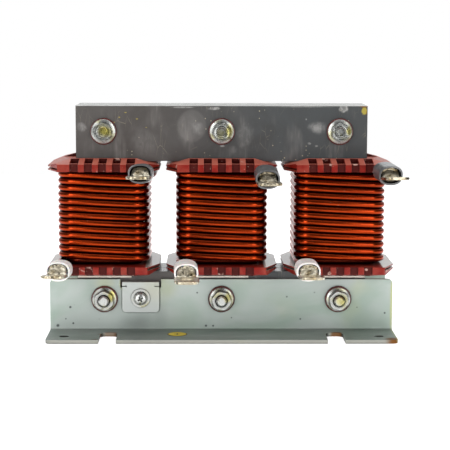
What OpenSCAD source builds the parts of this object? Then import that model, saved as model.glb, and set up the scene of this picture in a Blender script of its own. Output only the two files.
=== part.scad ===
// Three-phase iron-core choke: an E core and a yoke bar clamped between two angle brackets,
// with a wound bobbin on each leg. The origin is the centre of the four foot holes, on the
// mounting plane. The lugs and the earth tab face the front, which is -Y.

/* [Core] */
// Width of one core leg, left to right
leg_w = 41; // [34:1:46]
// Depth of the lamination stack, front to back
stack_d = 42; // [34:1:48]
// Height of the upper yoke and of the lower yoke bar
yoke_h = 41; // [34:1:50]
// Height of the legs below the upper yoke
leg_h = 79.8; // [70:0.1:110]
// Thickness of the air-gap boards under the legs
gap_t = 2.5; // [1:0.1:5]
// Height of the lower yoke bar above the mounting plane
bar_z = 5.5; // [3.5:0.5:10]

/* [Bobbins] */
// Width of a bobbin flange, left to right
flange_w = 82; // [78:0.5:100]
// Space between the flanges of two neighbouring bobbins
flange_gap = 5; // [2:0.5:12]
// Depth of a bobbin flange, front to back
flange_d = 82; // [78:0.5:90]
// Thickness of a bobbin flange under the yoke
flange_t = 6; // [5.5:0.1:8]
// Thickness of a flange at its front and rear edges
edge_t = 5.5; // [4.4:0.1:6]
// Thickness of a flange at its side edges
tip_t = 3.8; // [3.4:0.1:5]
// Height of the ridges in front of and behind the core, from the winding face
ridge_h = 9; // [8:0.1:12]
// Slope of a flange from its side edges up to the ridges, as a rise over a run
side_slope = 0.31; // [0.2:0.01:0.4]
// Width of the cut corner of a flange
chamfer_w = 8.4; // [4:0.2:12]
// Depth of the cut corner of a flange
chamfer_d = 19; // [10:0.5:24]
// Width of one tooth on the front and rear edges of a flange
tooth_w = 4.4; // [3:0.1:6]
// Distance from one tooth to the next
tooth_pitch = 10.2; // [8:0.1:11]
// Number of teeth between the two end blocks
tooth_count = 4; // [2:1:4]
// Width of the end block at each end of a toothed edge
block_w = 9; // [6:0.5:12]
// Length of the pockets between the teeth
pocket_l = 15; // [8:0.5:17]
// Depth of the recess between two teeth, and thickness of the floor under a pocket
plate_t = 1.8; // [1.2:0.1:2.4]
// Thickness of the wall between a pocket and the recess in front of it
pocket_wall = 1.2; // [0.8:0.1:2]
// Depth of the groove round the side edges of a flange
groove_d = 3.5; // [2:0.1:5]
// Height of the groove round the side edges of a flange
groove_h = 1.4; // [1:0.1:1.8]
// Thickness of the leaf between the groove and the winding face
leaf_t = 1.2; // [0.8:0.1:1.4]
// Wall of the bobbin tube
tube_wall = 2; // [1.5:0.1:2.6]
// Play between the bobbin and the core, for the whole height of the window
bobbin_play = 0.5; // [0.2:0.1:1]

/* [Leg boards] */
// Width of the white board between a leg and its bobbin
board_w = 40; // [28:0.5:41]
// Thickness of the white board
board_t = 1.5; // [1:0.1:2]
// Space between a bracket and the boards above it
board_gap = 0.8; // [0.4:0.1:2]

/* [Windings] */
// Width of a winding over its outer layer
coil_w = 67.5; // [66:0.1:72]
// Depth of a winding over its outer layer
coil_d = 68; // [67:0.1:72]
// Outer corner radius of a winding
corner_r = 12; // [8:0.5:14]
// Diameter of the enamelled wire
wire_d = 4.7; // [4:0.05:4.7]
// Number of full loops of the outer layer
loops = 13; // [8:1:13]
// Space between the start lead and the loop that it passes
lead_gap = 0.5; // [0.45:0.05:1]
// Space between the outer layer and the layer under it
layer_gap = 0.5; // [0.4:0.05:0.8]

/* [Lugs] */
// Distance from the front of a winding to the rear end of its lug barrels
lead_reach = 17; // [15:0.5:24]
// Width of the crimped lug barrel
barrel_w = 14.4; // [12:0.1:15]
// Height of the crimped lug barrel
barrel_h = 11.6; // [9:0.1:12]
// Length of the crimped lug barrel
barrel_l = 17; // [14:0.5:24]
// Length of the slope between barrel and palm
neck_l = 5; // [4.5:0.5:8]
// Width of the lug palm
palm_w = 17.4; // [15:0.1:20]
// Length of the lug palm
palm_l = 21; // [18:0.5:26]
// Thickness of the lug palm
palm_t = 2; // [1.6:0.1:3]
// Height of the underside of the palm above that of the barrel
palm_lift = 2.4; // [0:0.1:3]
// Diameter of the stud hole in the lug palm
stud_hole_d = 8.4; // [6.4:0.1:10.5]
// Width of the insulating sleeve over a lug
sleeve_w = 17.4; // [16.6:0.1:20]
// Height of the insulating sleeve over a lug
sleeve_h = 14; // [13.6:0.1:17]
// Length of the sleeve behind the lug barrel
sleeve_back = 5; // [3:0.5:7]
// Length of an upper sleeve in front of its barrel
sleeve_over = 3; // [0:0.1:3.5]
// Length of a lower barrel left bare in front of its sleeve
barrel_bare = 1.2; // [0:0.1:3]
// Sideways place of the three upper lugs from the middle of their coils
upper_lug_x = [29.7, 31.5, 29.7];
// Height of the three upper lugs above the underside of the top flange
upper_lug_rise = [0.4, 0, 2];
// Turn of the three upper lugs to the right, in degrees
upper_yaw = [-2, 2, 7];
// Upward tilt of the three upper lugs, in degrees
upper_pitch = [4, -6.5, -4];
// Upward bend of the three upper palms from their barrels, in degrees
upper_bend = [0, 8, 9];
// Sideways place of the three lower lugs from the middle of their coils
lower_lug_x = [-29.5, -26.2, -25.9];
// Height of the three lower lugs above the top of the bottom flange
lower_lug_rise = [0.5, 1, 1.6];
// Turn of the three lower lugs to the right, in degrees
lower_yaw = [-3, 2, 3];
// Upward tilt of the three lower lugs, in degrees
lower_pitch = [2, -4, -3];
// Upward bend of the three lower palms from their barrels, in degrees
lower_bend = [4, 3.5, 7.5];

/* [Brackets] */
// Length of an angle bracket
bracket_l = 255.4; // [250:0.2:290]
// Height of the upright plate
bracket_h = 41; // [39:0.5:46]
// Depth of the foot from the rear face of the plate
foot_d = 41.4; // [40:0.2:50]
// Thickness of the bracket sheet
sheet_t = 3; // [2:0.1:3.5]
// Inner radius of the bend
bend_r = 1.6; // [1:0.1:3]
// Radius of the upper corners of the plate
plate_corner_r = 3.5; // [1:0.5:6]
// Radius of the front corners of the foot
foot_corner_r = 4; // [1:0.5:6]
// Distance from the end of a foot to the middle of its open slot
slot_inset = 44.7; // [38:0.1:52]
// Width of an open slot
slot_w = 12.6; // [8:0.1:14]
// Length of an open slot from the edge of the foot
slot_l = 25.7; // [16:0.1:28]
// Radius of the inner corners of a slot
slot_corner_r = 4.2; // [2:0.1:4.4]
// Distance from the end of a foot to its small hole
hole_inset = 12.7; // [9:0.1:18]
// Distance from the rear face of the plate to the foot holes
hole_reach = 28; // [20:0.5:32]
// Diameter of a foot hole
hole_d = 7; // [5:0.1:9]
// Diameter of the round marker dot on the front foot
marker_d = 14.6; // [8:0.1:18]
// Thickness of the marker dot
marker_t = 0.2; // [0.1:0.05:0.4]
// Sideways place of the marker dot
marker_x = -32.6; // [-60:0.2:60]
// Distance from the rear face of the plate to the marker dot
marker_reach = 21.2; // [18:0.2:26]

/* [Clamping bolts] */
// Diameter of the clamping bolts
bolt_d = 8; // [6:0.1:9]
// Height of the upper bolts above the middle of the upper yoke
bolt_rise = 1.4; // [-4:0.1:4]
// Width across the flats of a hexagon
hex_af = 13; // [11:0.1:15]
// Diameter of the flange under a head or nut
hex_flange_d = 17.9; // [15.6:0.1:19]
// Thickness of the flange at its rim
hex_flange_t = 1.4; // [1:0.1:2]
// Height of a bolt head
head_h = 6.6; // [5:0.1:8]
// Height of a nut
nut_h = 8; // [6:0.1:9]
// Length of the bolt end that stands out of the nut
bolt_end = 3; // [1:0.1:6]
// Diameter of the fibre washers
fibre_d = 20; // [19.2:0.1:24]
// Thickness of the fibre washers
fibre_t = 1.5; // [1:0.1:2.5]
// Wall of the insulating tube round a bolt
liner_wall = 0.9; // [0.6:0.1:1.2]

/* [Earth terminal] */
// Sideways distance from the middle of the left leg to the middle of the earth tab
tab_offset = 26.9; // [24.5:0.1:30]
// Width of the earth tab
tab_w = 27.6; // [20:0.1:28]
// Height of the upright part of the earth tab
tab_h = 23; // [18:0.1:24]
// Height of the top of the earth tab above the mounting plane
tab_top_z = 39.1; // [38:0.1:40]
// Thickness of the earth tab
tab_t = 2; // [1.5:0.1:2.5]
// Radius of the lower corners of the earth tab
tab_corner_r = 3; // [1:0.1:5]
// Width of the notch in the bracket for the earth tab
notch_w = 30.2; // [28.8:0.1:34]
// Depth of the notch in the bracket
notch_h = 6.3; // [5:0.1:8]
// Height of the earth screw above the mounting plane
earth_z = 27; // [26:0.1:28]
// Diameter of the earth screw
earth_d = 5; // [4:0.1:6]
// Diameter of the screw head
pan_d = 9.4; // [8.6:0.1:11]
// Height of the screw head
pan_h = 3.2; // [2.4:0.1:4]
// Outer diameter of the flat washer
flat_washer_d = 14; // [12:0.1:16]
// Thickness of the flat washer
flat_washer_t = 1.2; // [0.8:0.1:1.6]
// Outer diameter of the split spring washer
spring_washer_d = 9.2; // [8:0.1:10]
// Thickness of the split spring washer
spring_washer_t = 1.4; // [1:0.1:2]
// Width of the split
split_w = 0.8; // [0.5:0.1:1.2]

/* [Hidden] */
$fn = 48;

// How far a cut runs past the faces that it opens
cut = 1;
// Play round pieces that slide over each other
slide_play = 0.15;
// Play of a bolt in its liner, and of a liner in its hole
bolt_play = 0.1;
// Space between a soft or wound piece and its neighbours
soft_gap = 0.3;
// Depth of the cross recess in the earth screw
recess_depth = 1.8;
// Width of one arm of the cross recess
recess_arm = 1.3;
// Length of one arm pair of the cross recess
recess_span = 5;
// Height of the flat pad between neck and palm ends, as a share of the palm's width
palm_corner_share = 0.28;

// Places of the three legs, from left to right
phase_pitch = flange_w + flange_gap;
phase_x = [-phase_pitch, 0, phase_pitch];
LEFT = 0;
MIDDLE = 1;
RIGHT = 2;

// Heights of the core
core_w = 2 * phase_pitch + leg_w;
core_front = -stack_d / 2;
bar_top = bar_z + yoke_h;
leg_z = bar_top + gap_t;
yoke_z = leg_z + leg_h;
core_top = yoke_z + yoke_h;

// Heights of the bobbins
bobbin_top = yoke_z - bobbin_play;
top_flange_z = bobbin_top - flange_t;
wind_z = bar_top + flange_t;
tube_in_w = leg_w + 2 * slide_play + 2 * soft_gap;
tube_in_d = stack_d + 2 * (board_t + slide_play);
tube_w = tube_in_w + 2 * tube_wall;
tube_d = tube_in_d + 2 * tube_wall;

// Path of the wire
wire_r = wire_d / 2;
path_w = coil_w / 2 - wire_r;
path_d = coil_d / 2 - wire_r;
path_r = corner_r - wire_r;
start_z = top_flange_z - wire_r - soft_gap;
end_z = wind_z + wire_r + soft_gap;
wire_pitch = (start_z - end_z) / loops;
lead_step = wire_d + lead_gap;
lug_y = -coil_d / 2 - lead_reach;
lead_edge_y = -flange_d / 2 - soft_gap;

// Fasteners
liner_in_r = bolt_d / 2 + bolt_play;
liner_out_r = liner_in_r + liner_wall;
bolt_hole_r = liner_out_r + bolt_play;
upper_bolt_z = yoke_z + yoke_h / 2 + bolt_rise;
lower_bolt_z = bar_z + yoke_h / 2;
upper_clamp = stack_d;
lower_clamp = stack_d + 2 * sheet_t;

// Earth terminal
tab_x = phase_x[LEFT] + tab_offset;
plate_face = core_front - sheet_t;
tab_face = plate_face - tab_t;
flat_face = tab_face - flat_washer_t;
spring_face = flat_face - spring_washer_t;

// Rounded rectangle centred on the origin, with true arcs at its corners
module round_rect(w, d, r) {
    square([w - 2 * r, d], center = true);
    square([w, d - 2 * r], center = true);
    for (x = [-1, 1], y = [-1, 1]) translate([x * (w / 2 - r), y * (d / 2 - r)]) circle(r);
}

// Oval with round ends, wider than it is high
module oval(w, h) {
    square([w - h, h], center = true);
    for (x = [-1, 1]) translate([x * (w - h) / 2, 0]) circle(h / 2);
}

// Solid along Y from one face to another, with its outline in the XZ plane
module along_y(from, to) {
    translate([0, to, 0]) rotate([90, 0, 0]) linear_extrude(to - from) children();
}

// Round rod or hole along Y
module rod_y(r, from, to) {
    along_y(from, to) circle(r);
}

// Hexagon on a round flange whose seat lies at the origin and which rises towards -Y
module flanged_hex(h, bore_r) {
    difference() {
        union() {
            rod_y(hex_flange_d / 2, -hex_flange_t, 0);
            along_y(-h, 0) circle(hex_af / sqrt(3), $fn = 6);
        }
        if (bore_r > 0) rod_y(bore_r, -h - cut, cut);
    }
}

// Flat ring whose rear face lies at the origin
module ring_y(out_r, in_r, t) {
    difference() {
        rod_y(out_r, -t, 0);
        rod_y(in_r, -t - cut, cut);
    }
}

// Core

module e_core() {
    color("dimgray") difference() {
        union() {
            translate([-core_w / 2, core_front, yoke_z]) cube([core_w, stack_d, yoke_h]);
            for (x = phase_x) translate([x - leg_w / 2, core_front, leg_z])
                cube([leg_w, stack_d, leg_h + cut]);
        }
        for (x = phase_x) translate([x, 0, upper_bolt_z])
            rod_y(bolt_hole_r, core_front - cut, -core_front + cut);
    }
}

module yoke_bar() {
    color("dimgray") difference() {
        translate([-core_w / 2, core_front, bar_z]) cube([core_w, stack_d, yoke_h]);
        for (x = phase_x) translate([x, 0, lower_bolt_z])
            rod_y(bolt_hole_r, core_front - cut, -core_front + cut);
    }
}

module gap_boards() {
    color("ivory") for (x = phase_x) translate([x - leg_w / 2, core_front, bar_top])
        cube([leg_w, stack_d, gap_t]);
}

// White boards on the front or rear faces of the legs, which stand on the brackets
module leg_boards(side) {
    z = bracket_h + board_gap;
    y = side < 0 ? core_front - board_t : -core_front;
    color("ivory") for (x = phase_x) translate([x - board_w / 2, y, z])
        cube([board_w, board_t, bobbin_top - z]);
}

// Bobbins

module bobbin_tube(phase) {
    color("brown") translate([phase_x[phase], 0, bar_top]) difference() {
        linear_extrude(bobbin_top - bar_top) square([tube_w, tube_d], center = true);
        translate([0, 0, -cut]) linear_extrude(bobbin_top - bar_top + 2 * cut)
            square([tube_in_w, tube_in_d], center = true);
    }
}

// Outline of a flange: a rectangle with its corners cut off
module flange_outline(inset = 0) {
    w = flange_w / 2 - inset;
    d = flange_d / 2 - inset;
    polygon([
        [w, chamfer_d - d], [w, d - chamfer_d], [w - chamfer_w, d], [chamfer_w - w, d],
        [-w, d - chamfer_d], [-w, chamfer_d - d], [chamfer_w - w, -d], [w - chamfer_w, -d]
    ]);
}

// Spaces between the teeth and the end blocks of the front edge
module tooth_gaps(depth) {
    edge = flange_w / 2 - chamfer_w - block_w;
    difference() {
        translate([-edge, -flange_d / 2 - cut]) square([2 * edge, depth + cut]);
        for (n = [0 : tooth_count - 1])
            translate([(n - (tooth_count - 1) / 2) * tooth_pitch - tooth_w / 2, -flange_d / 2 - 2 * cut])
                square([tooth_w, depth + 3 * cut]);
    }
}

// Section of a flange from front to rear: flat under the yoke, with a ridge that slopes to each edge
module ridge_section() {
    edge = flange_d / 2;
    ridge = tube_d / 2 + slide_play;
    polygon([
        [-edge, 0], [edge, 0], [edge, edge_t], [ridge, ridge_h], [ridge, flange_t],
        [-ridge, flange_t], [-ridge, ridge_h], [-edge, edge_t]
    ]);
}

// Section of a flange from left to right: a roof that falls to both side edges
module roof_section() {
    edge = flange_w / 2;
    polygon([[-edge, 0], [edge, 0], [edge, tip_t], [0, tip_t + edge * side_slope], [-edge, tip_t]]);
}

// Flange with its winding face down, at the height where the wire starts
module flange_body() {
    difference() {
        intersection() {
            linear_extrude(ridge_h + cut) flange_outline();
            translate([-flange_w / 2 - cut, 0, 0]) rotate([90, 0, 90])
                linear_extrude(flange_w + 2 * cut) ridge_section();
            along_y(-flange_d / 2 - cut, flange_d / 2 + cut) roof_section();
        }
        translate([0, 0, -cut]) linear_extrude(ridge_h + 2 * cut)
            square([tube_w + 2 * slide_play, tube_d + 2 * slide_play], center = true);
        for (turn = [0, 180]) rotate(turn) {
            translate([0, 0, plate_t]) linear_extrude(ridge_h) difference() {
                tooth_gaps(pocket_l);
                translate([-flange_w / 2, -flange_d / 2 - cut])
                    square([flange_w, plate_t + pocket_wall + cut]);
            }
            translate([0, 0, -cut]) linear_extrude(ridge_h) tooth_gaps(plate_t);
        }
        translate([0, 0, leaf_t]) linear_extrude(groove_h) difference() {
            flange_outline(-cut);
            flange_outline(groove_d);
            square([flange_w - 2 * chamfer_w, flange_d + 4 * cut], center = true);
        }
    }
}

module top_flange(phase) {
    color("firebrick") translate([phase_x[phase], 0, top_flange_z]) flange_body();
}

module bottom_flange(phase) {
    color("firebrick") translate([phase_x[phase], 0, wind_z]) mirror([0, 0, 1]) flange_body();
}

// Windings

module inner_winding(phase) {
    out_w = coil_w - 2 * (wire_d + layer_gap);
    out_d = coil_d - 2 * (wire_d + layer_gap);
    h = top_flange_z - wind_z - 2 * soft_gap;
    color("saddlebrown") translate([phase_x[phase], 0, wind_z + soft_gap]) difference() {
        linear_extrude(h) round_rect(out_w, out_d, corner_r - wire_d - layer_gap);
        translate([0, 0, -cut]) linear_extrude(h + 2 * cut)
            square([tube_w + 2 * slide_play, tube_d + 2 * slide_play], center = true);
    }
}

// Direction in which a lug points, from its turn to the right and its upward tilt
function lug_axis(yaw, pitch) = [sin(yaw) * cos(pitch), -cos(yaw) * cos(pitch), sin(pitch)];

// Corner centres in winding order, seen from above: right rear, left rear, left front, right front
corner_x = [path_w - path_r, path_r - path_w, path_r - path_w, path_w - path_r];
corner_y = [path_d - path_r, path_d - path_r, path_r - path_d, path_r - path_d];
// Rings on one corner
corner_rings = 4;
// Length of the stretch in which a loop drops by one pitch: the front, one corner and the right side
drop_front = 2 * (path_w - path_r);
drop_corner = path_r * PI / 2;
drop_side = 2 * (path_d - path_r);
drop_l = drop_front + drop_corner + drop_side;

// Share of one pitch that the wire has dropped at ring j of corner c
function drop_share(c, j) =
    c < 3 ? 0 : (drop_front + drop_corner * j / (corner_rings - 1)) / drop_l;

// Centre of the wire at ring j of corner c of loop n; the first corner comes in from the lead
function loop_point(n, c, j) =
    let (a = 90 * (c + j / (corner_rings - 1)),
         r = path_r + (n == 0 && c == 0 ? lead_step * (1 - j / (corner_rings - 1)) : 0))
    [corner_x[c] + r * cos(a), corner_y[c] + r * sin(a), start_z - wire_pitch * (n + drop_share(c, j))];

function loop_points() = [
    for (n = [0 : loops - 1], c = [0 : 3], j = [0 : corner_rings - 1]) loop_point(n, c, j)
];

// Start lead: out of the upper lug, under the edge of the flange and along the right side
function start_lead(phase) =
    let (lug = [upper_lug_x[phase], lug_y, top_flange_z + upper_lug_rise[phase]],
         axis = lug_axis(upper_yaw[phase], upper_pitch[phase]),
         side_x = path_w + lead_step)
    [lug, lug - axis * wire_d,
     [(lug[0] + side_x) / 2, lead_edge_y, start_z],
     [side_x, corner_y[3], start_z]];

// End lead: round the rear, along the left side and over the edge of the flange to the lower lug
function end_lead(phase) =
    let (lug = [lower_lug_x[phase], lug_y, wind_z + lower_lug_rise[phase]],
         axis = lug_axis(lower_yaw[phase], lower_pitch[phase]))
    [for (c = [0, 1], j = [0 : corner_rings - 1]) loop_point(loops, c, j),
     [-path_w, corner_y[2], end_z],
     [(lug[0] - path_w) / 2, lead_edge_y, end_z],
     lug - axis * wire_d, lug];

function wire_path(phase) = concat(start_lead(phase), loop_points(), end_lead(phase));

// Rings of six points square to the path
wire_sides = 6;
function unit(v) = v / norm(v);
function heading(path, i) =
    i == 0 ? unit(path[1] - path[0])
    : i == len(path) - 1 ? unit(path[i] - path[i - 1])
    : unit(unit(path[i] - path[i - 1]) + unit(path[i + 1] - path[i]));
function wire_ring(path, i) =
    let (t = heading(path, i), side = unit(cross(t, [0, 0, 1])), up = cross(side, t))
    [for (k = [0 : wire_sides - 1])
        path[i] + wire_r * (cos(k * 360 / wire_sides) * side + sin(k * 360 / wire_sides) * up)];

// Tube through the rings of a path, closed with a fan of triangles at each end
module wire_tube(path) {
    n = wire_sides;
    last = len(path) - 1;
    points = [for (i = [0 : last]) each wire_ring(path, i)];
    walls = [for (i = [0 : last - 1], k = [0 : n - 1])
        let (a = i * n + k, b = i * n + (k + 1) % n)
        each [[a, b, b + n], [a, b + n, a + n]]];
    front = [for (k = [1 : n - 2]) [0, k + 1, k]];
    rear = [for (k = [1 : n - 2]) [last * n, last * n + k, last * n + k + 1]];
    polyhedron(points, concat(walls, front, rear), convexity = 10);
}

// Least distance between the wire's surface and the next loop's, measured on the ring points
function loop_gap(n) =
    let (here = loop_points())
    min([for (c = [0 : 3], j = [0 : corner_rings - 1])
        let (i = (n * 4 + c) * corner_rings + j,
             upper = wire_ring(here, i),
             lower = wire_ring(here, i + 4 * corner_rings))
        min([for (p = upper, q = lower) norm(p - q)])]);
// Least distance between the start lead and the loop that it passes on the right side
function lead_side_gap() =
    norm([path_w + lead_step, corner_y[3]] - [path_w, corner_y[3]]) - wire_d;
least_gap = min(concat([for (n = [1 : loops - 2]) loop_gap(n)], [lead_side_gap()]));
echo(least_gap_of_a_winding_mm = least_gap);

module outer_winding(phase) {
    color("chocolate") translate([phase_x[phase], 0, 0]) wire_tube(wire_path(phase));
}

// Lugs and sleeves

// Lug along -Y with the rear end of its barrel at the origin and its palm bent upwards
module lug_shape(bend) {
    floor_z = -barrel_h / 2;
    along_y(-barrel_l, 0) oval(barrel_w, barrel_h);
    translate([0, -barrel_l, floor_z]) rotate([-bend, 0, 0]) palm_shape();
}

// Neck and palm along -Y from the underside of the barrel's front end
module palm_shape() {
    neck_w = barrel_w - barrel_h / 2;
    translate([-neck_w / 2, 0, 0]) rotate([90, 0, 90]) linear_extrude(neck_w) polygon([
        [cut, 0], [cut, barrel_h * 3 / 4], [0, barrel_h * 3 / 4],
        [-neck_l, palm_lift + palm_t], [-neck_l, palm_lift], [0, 0]
    ]);
    translate([0, -neck_l - palm_l / 2, palm_lift]) difference() {
        linear_extrude(palm_t) union() {
            round_rect(palm_w, palm_l, palm_w * palm_corner_share);
            translate([-neck_w / 2, 0]) square([neck_w, palm_l / 2]);
        }
        translate([0, 0, -cut]) cylinder(h = palm_t + 2 * cut, r = stud_hole_d / 2);
    }
}

// Sleeve in the lug's own frame, open at both ends
module sleeve_shape(front) {
    along_y(front, sleeve_back) difference() {
        oval(sleeve_w, sleeve_h);
        oval(barrel_w + 2 * soft_gap, barrel_h + 2 * soft_gap);
    }
}

// Puts a piece at a lug's place, turned and tilted as the lug is
module at_lug(phase, x, z, yaw, pitch) {
    translate([phase_x[phase] + x[phase], lug_y, z])
        rotate([0, 0, yaw[phase]]) rotate([-pitch[phase], 0, 0]) children();
}
module at_upper_lug(phase) {
    at_lug(phase, upper_lug_x, top_flange_z + upper_lug_rise[phase], upper_yaw, upper_pitch) children();
}
module at_lower_lug(phase) {
    at_lug(phase, lower_lug_x, wind_z + lower_lug_rise[phase], lower_yaw, lower_pitch) children();
}

module upper_lug(phase) {
    color("silver") at_upper_lug(phase) lug_shape(upper_bend[phase]);
}
module upper_sleeve(phase) {
    color("darkslategray") at_upper_lug(phase) sleeve_shape(-barrel_l - sleeve_over);
}
module lower_lug(phase) {
    color("silver") at_lower_lug(phase) lug_shape(lower_bend[phase]);
}
module lower_sleeve(phase) {
    color("whitesmoke") at_lower_lug(phase) sleeve_shape(barrel_bare - barrel_l);
}

// Brackets

// Section of the sheet, bent outwards at the foot, with the plate's rear face at zero
module bracket_section() {
    outer_r = bend_r + sheet_t;
    translate([-foot_d, 0]) square([foot_d - outer_r, sheet_t]);
    translate([-sheet_t, outer_r]) square([sheet_t, bracket_h - outer_r]);
    translate([-outer_r, outer_r]) difference() {
        circle(outer_r);
        circle(bend_r);
        translate([-outer_r - cut, -outer_r - cut]) square([outer_r + cut, 2 * (outer_r + cut)]);
        translate([-outer_r - cut, 0]) square([2 * (outer_r + cut), outer_r + cut]);
    }
}

// Outline of an open slot, from the edge of the foot inwards
module slot_outline() {
    translate([-slot_w / 2, -foot_d - cut]) square([slot_w, slot_l - slot_corner_r + cut]);
    translate([0, slot_l / 2 - foot_d]) round_rect(slot_w, slot_l, slot_corner_r);
}

// Bracket in front of a plane at zero, which is the rear face of its plate
module bracket_shape(notched) {
    corner = plate_corner_r;
    difference() {
        translate([-bracket_l / 2, 0, 0]) rotate([90, 0, 90]) linear_extrude(bracket_l)
            bracket_section();
        for (side = [-1, 1]) {
            translate([side * (bracket_l / 2 - corner), 0, bracket_h - corner])
                along_y(-sheet_t - cut, cut) difference() {
                    translate([side > 0 ? 0 : -corner - cut, 0])
                        square([corner + cut, corner + cut]);
                    circle(corner);
                }
            translate([side * (bracket_l / 2 - foot_corner_r), foot_corner_r - foot_d, -cut])
                linear_extrude(sheet_t + 2 * cut) difference() {
                    translate([side > 0 ? 0 : -foot_corner_r - cut, -foot_corner_r - cut])
                        square([foot_corner_r + cut, foot_corner_r + cut]);
                    circle(foot_corner_r);
                }
            translate([side * (bracket_l / 2 - slot_inset), 0, -cut]) linear_extrude(sheet_t + 2 * cut)
                slot_outline();
            translate([side * (bracket_l / 2 - hole_inset), -hole_reach, -cut])
                cylinder(h = sheet_t + 2 * cut, r = hole_d / 2);
        }
        for (x = phase_x) translate([x, 0, lower_bolt_z])
            rod_y(bolt_hole_r, -sheet_t - cut, cut);
        if (notched) {
            translate([tab_x - notch_w / 2, -sheet_t - cut, bracket_h - notch_h])
                cube([notch_w, sheet_t + 2 * cut, notch_h + cut]);
            translate([tab_x, 0, earth_z]) rod_y(earth_d / 2 + bolt_play, -sheet_t - cut, cut);
        }
    }
}

module front_bracket() {
    color("lightslategray") translate([0, core_front, 0]) bracket_shape(true);
}

module rear_bracket() {
    color("lightslategray") rotate(180) translate([0, core_front, 0]) bracket_shape(false);
}

// Clamping bolts: heads and nuts stand on fibre washers at both ends of the clamped stack

module bolt(clamp) {
    seat = -clamp / 2 - fibre_t;
    translate([0, seat, 0]) flanged_hex(head_h, 0);
    rod_y(bolt_d / 2, seat, -seat + nut_h + bolt_end);
}

module nut(clamp) {
    translate([0, -clamp / 2 - fibre_t, 0]) flanged_hex(nut_h, bolt_d / 2 + bolt_play);
}

module fibre_washers(clamp) {
    for (turn = [0, 180]) rotate(turn) translate([0, -clamp / 2, 0])
        ring_y(fibre_d / 2, liner_out_r + bolt_play, fibre_t);
}

module bolt_liner(clamp) {
    difference() {
        rod_y(liner_out_r, -clamp / 2, clamp / 2);
        rod_y(liner_in_r, -clamp / 2 - cut, clamp / 2 + cut);
    }
}

// The upper bolts have their heads in front, the lower ones at the rear
module at_upper_bolts() {
    for (x = phase_x) translate([x, 0, upper_bolt_z]) children();
}
module at_lower_bolts() {
    for (x = phase_x) translate([x, 0, lower_bolt_z]) rotate(180) children();
}

module upper_bolts() {
    color("gainsboro") at_upper_bolts() bolt(upper_clamp);
}
module upper_nuts() {
    color("gainsboro") at_upper_bolts() rotate(180) nut(upper_clamp);
}
module upper_fibre_washers() {
    color("maroon") at_upper_bolts() fibre_washers(upper_clamp);
}
module upper_bolt_liners() {
    color("ivory") at_upper_bolts() bolt_liner(upper_clamp);
}
module lower_bolts() {
    color("gainsboro") at_lower_bolts() bolt(lower_clamp);
}
module lower_nuts() {
    color("gainsboro") at_lower_bolts() rotate(180) nut(lower_clamp);
}
module lower_fibre_washers() {
    color("maroon") at_lower_bolts() fibre_washers(lower_clamp);
}
module lower_bolt_liners() {
    color("ivory") at_lower_bolts() bolt_liner(lower_clamp);
}

// Earth terminal

module earth_tab() {
    bottom = tab_top_z - tab_h;
    color("lightgray") difference() {
        union() {
            translate([tab_x, 0, bottom + tab_h / 2]) along_y(tab_face, plate_face) difference() {
                round_rect(tab_w, tab_h, tab_corner_r);
                for (side = [-1, 1]) translate([side * tab_w / 2, tab_h / 2])
                    square(2 * tab_corner_r + cut, center = true);
            }
            translate([tab_x, 0, tab_top_z - tab_corner_r]) along_y(tab_face, plate_face)
                translate([-tab_w / 2, 0]) square([tab_w, tab_corner_r]);
            translate([tab_x - tab_w / 2, tab_face, tab_top_z - tab_t])
                cube([tab_w, core_front - tab_face, tab_t]);
        }
        translate([tab_x, 0, earth_z]) rod_y(earth_d / 2 + bolt_play, tab_face - cut, plate_face + cut);
    }
}

module earth_flat_washer() {
    color("lightgray") translate([tab_x, tab_face, earth_z])
        ring_y(flat_washer_d / 2, earth_d / 2 + bolt_play, flat_washer_t);
}

module earth_spring_washer() {
    color("gray") translate([tab_x, flat_face, earth_z]) difference() {
        ring_y(spring_washer_d / 2, earth_d / 2 + bolt_play, spring_washer_t);
        translate([-split_w / 2, -spring_washer_t - cut, 0])
            cube([split_w, spring_washer_t + 2 * cut, spring_washer_d]);
    }
}

module earth_screw() {
    color("gainsboro") translate([tab_x, 0, earth_z]) difference() {
        union() {
            rod_y(pan_d / 2, spring_face - pan_h, spring_face);
            rod_y(earth_d / 2, spring_face - pan_h / 2, core_front - soft_gap);
        }
        translate([0, spring_face - pan_h - cut, 0]) along_y(0, recess_depth + cut) {
            square([recess_span, recess_arm], center = true);
            square([recess_arm, recess_span], center = true);
        }
    }
}

module marker_dot() {
    color("gold") translate([marker_x, core_front - marker_reach, sheet_t])
        cylinder(h = marker_t, r = marker_d / 2);
}

e_core();
yoke_bar();
gap_boards();
leg_boards(-1);  // front_leg_boards
leg_boards(1);  // rear_leg_boards
bobbin_tube(LEFT);  // left_tube
top_flange(LEFT);  // left_top_flange
bottom_flange(LEFT);  // left_bottom_flange
inner_winding(LEFT);  // left_inner_winding
outer_winding(LEFT);  // left_winding
upper_lug(LEFT);  // left_upper_lug
upper_sleeve(LEFT);  // left_upper_sleeve
lower_lug(LEFT);  // left_lower_lug
lower_sleeve(LEFT);  // left_lower_sleeve
bobbin_tube(MIDDLE);  // middle_tube
top_flange(MIDDLE);  // middle_top_flange
bottom_flange(MIDDLE);  // middle_bottom_flange
inner_winding(MIDDLE);  // middle_inner_winding
outer_winding(MIDDLE);  // middle_winding
upper_lug(MIDDLE);  // middle_upper_lug
upper_sleeve(MIDDLE);  // middle_upper_sleeve
lower_lug(MIDDLE);  // middle_lower_lug
lower_sleeve(MIDDLE);  // middle_lower_sleeve
bobbin_tube(RIGHT);  // right_tube
top_flange(RIGHT);  // right_top_flange
bottom_flange(RIGHT);  // right_bottom_flange
inner_winding(RIGHT);  // right_inner_winding
outer_winding(RIGHT);  // right_winding
upper_lug(RIGHT);  // right_upper_lug
upper_sleeve(RIGHT);  // right_upper_sleeve
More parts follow.
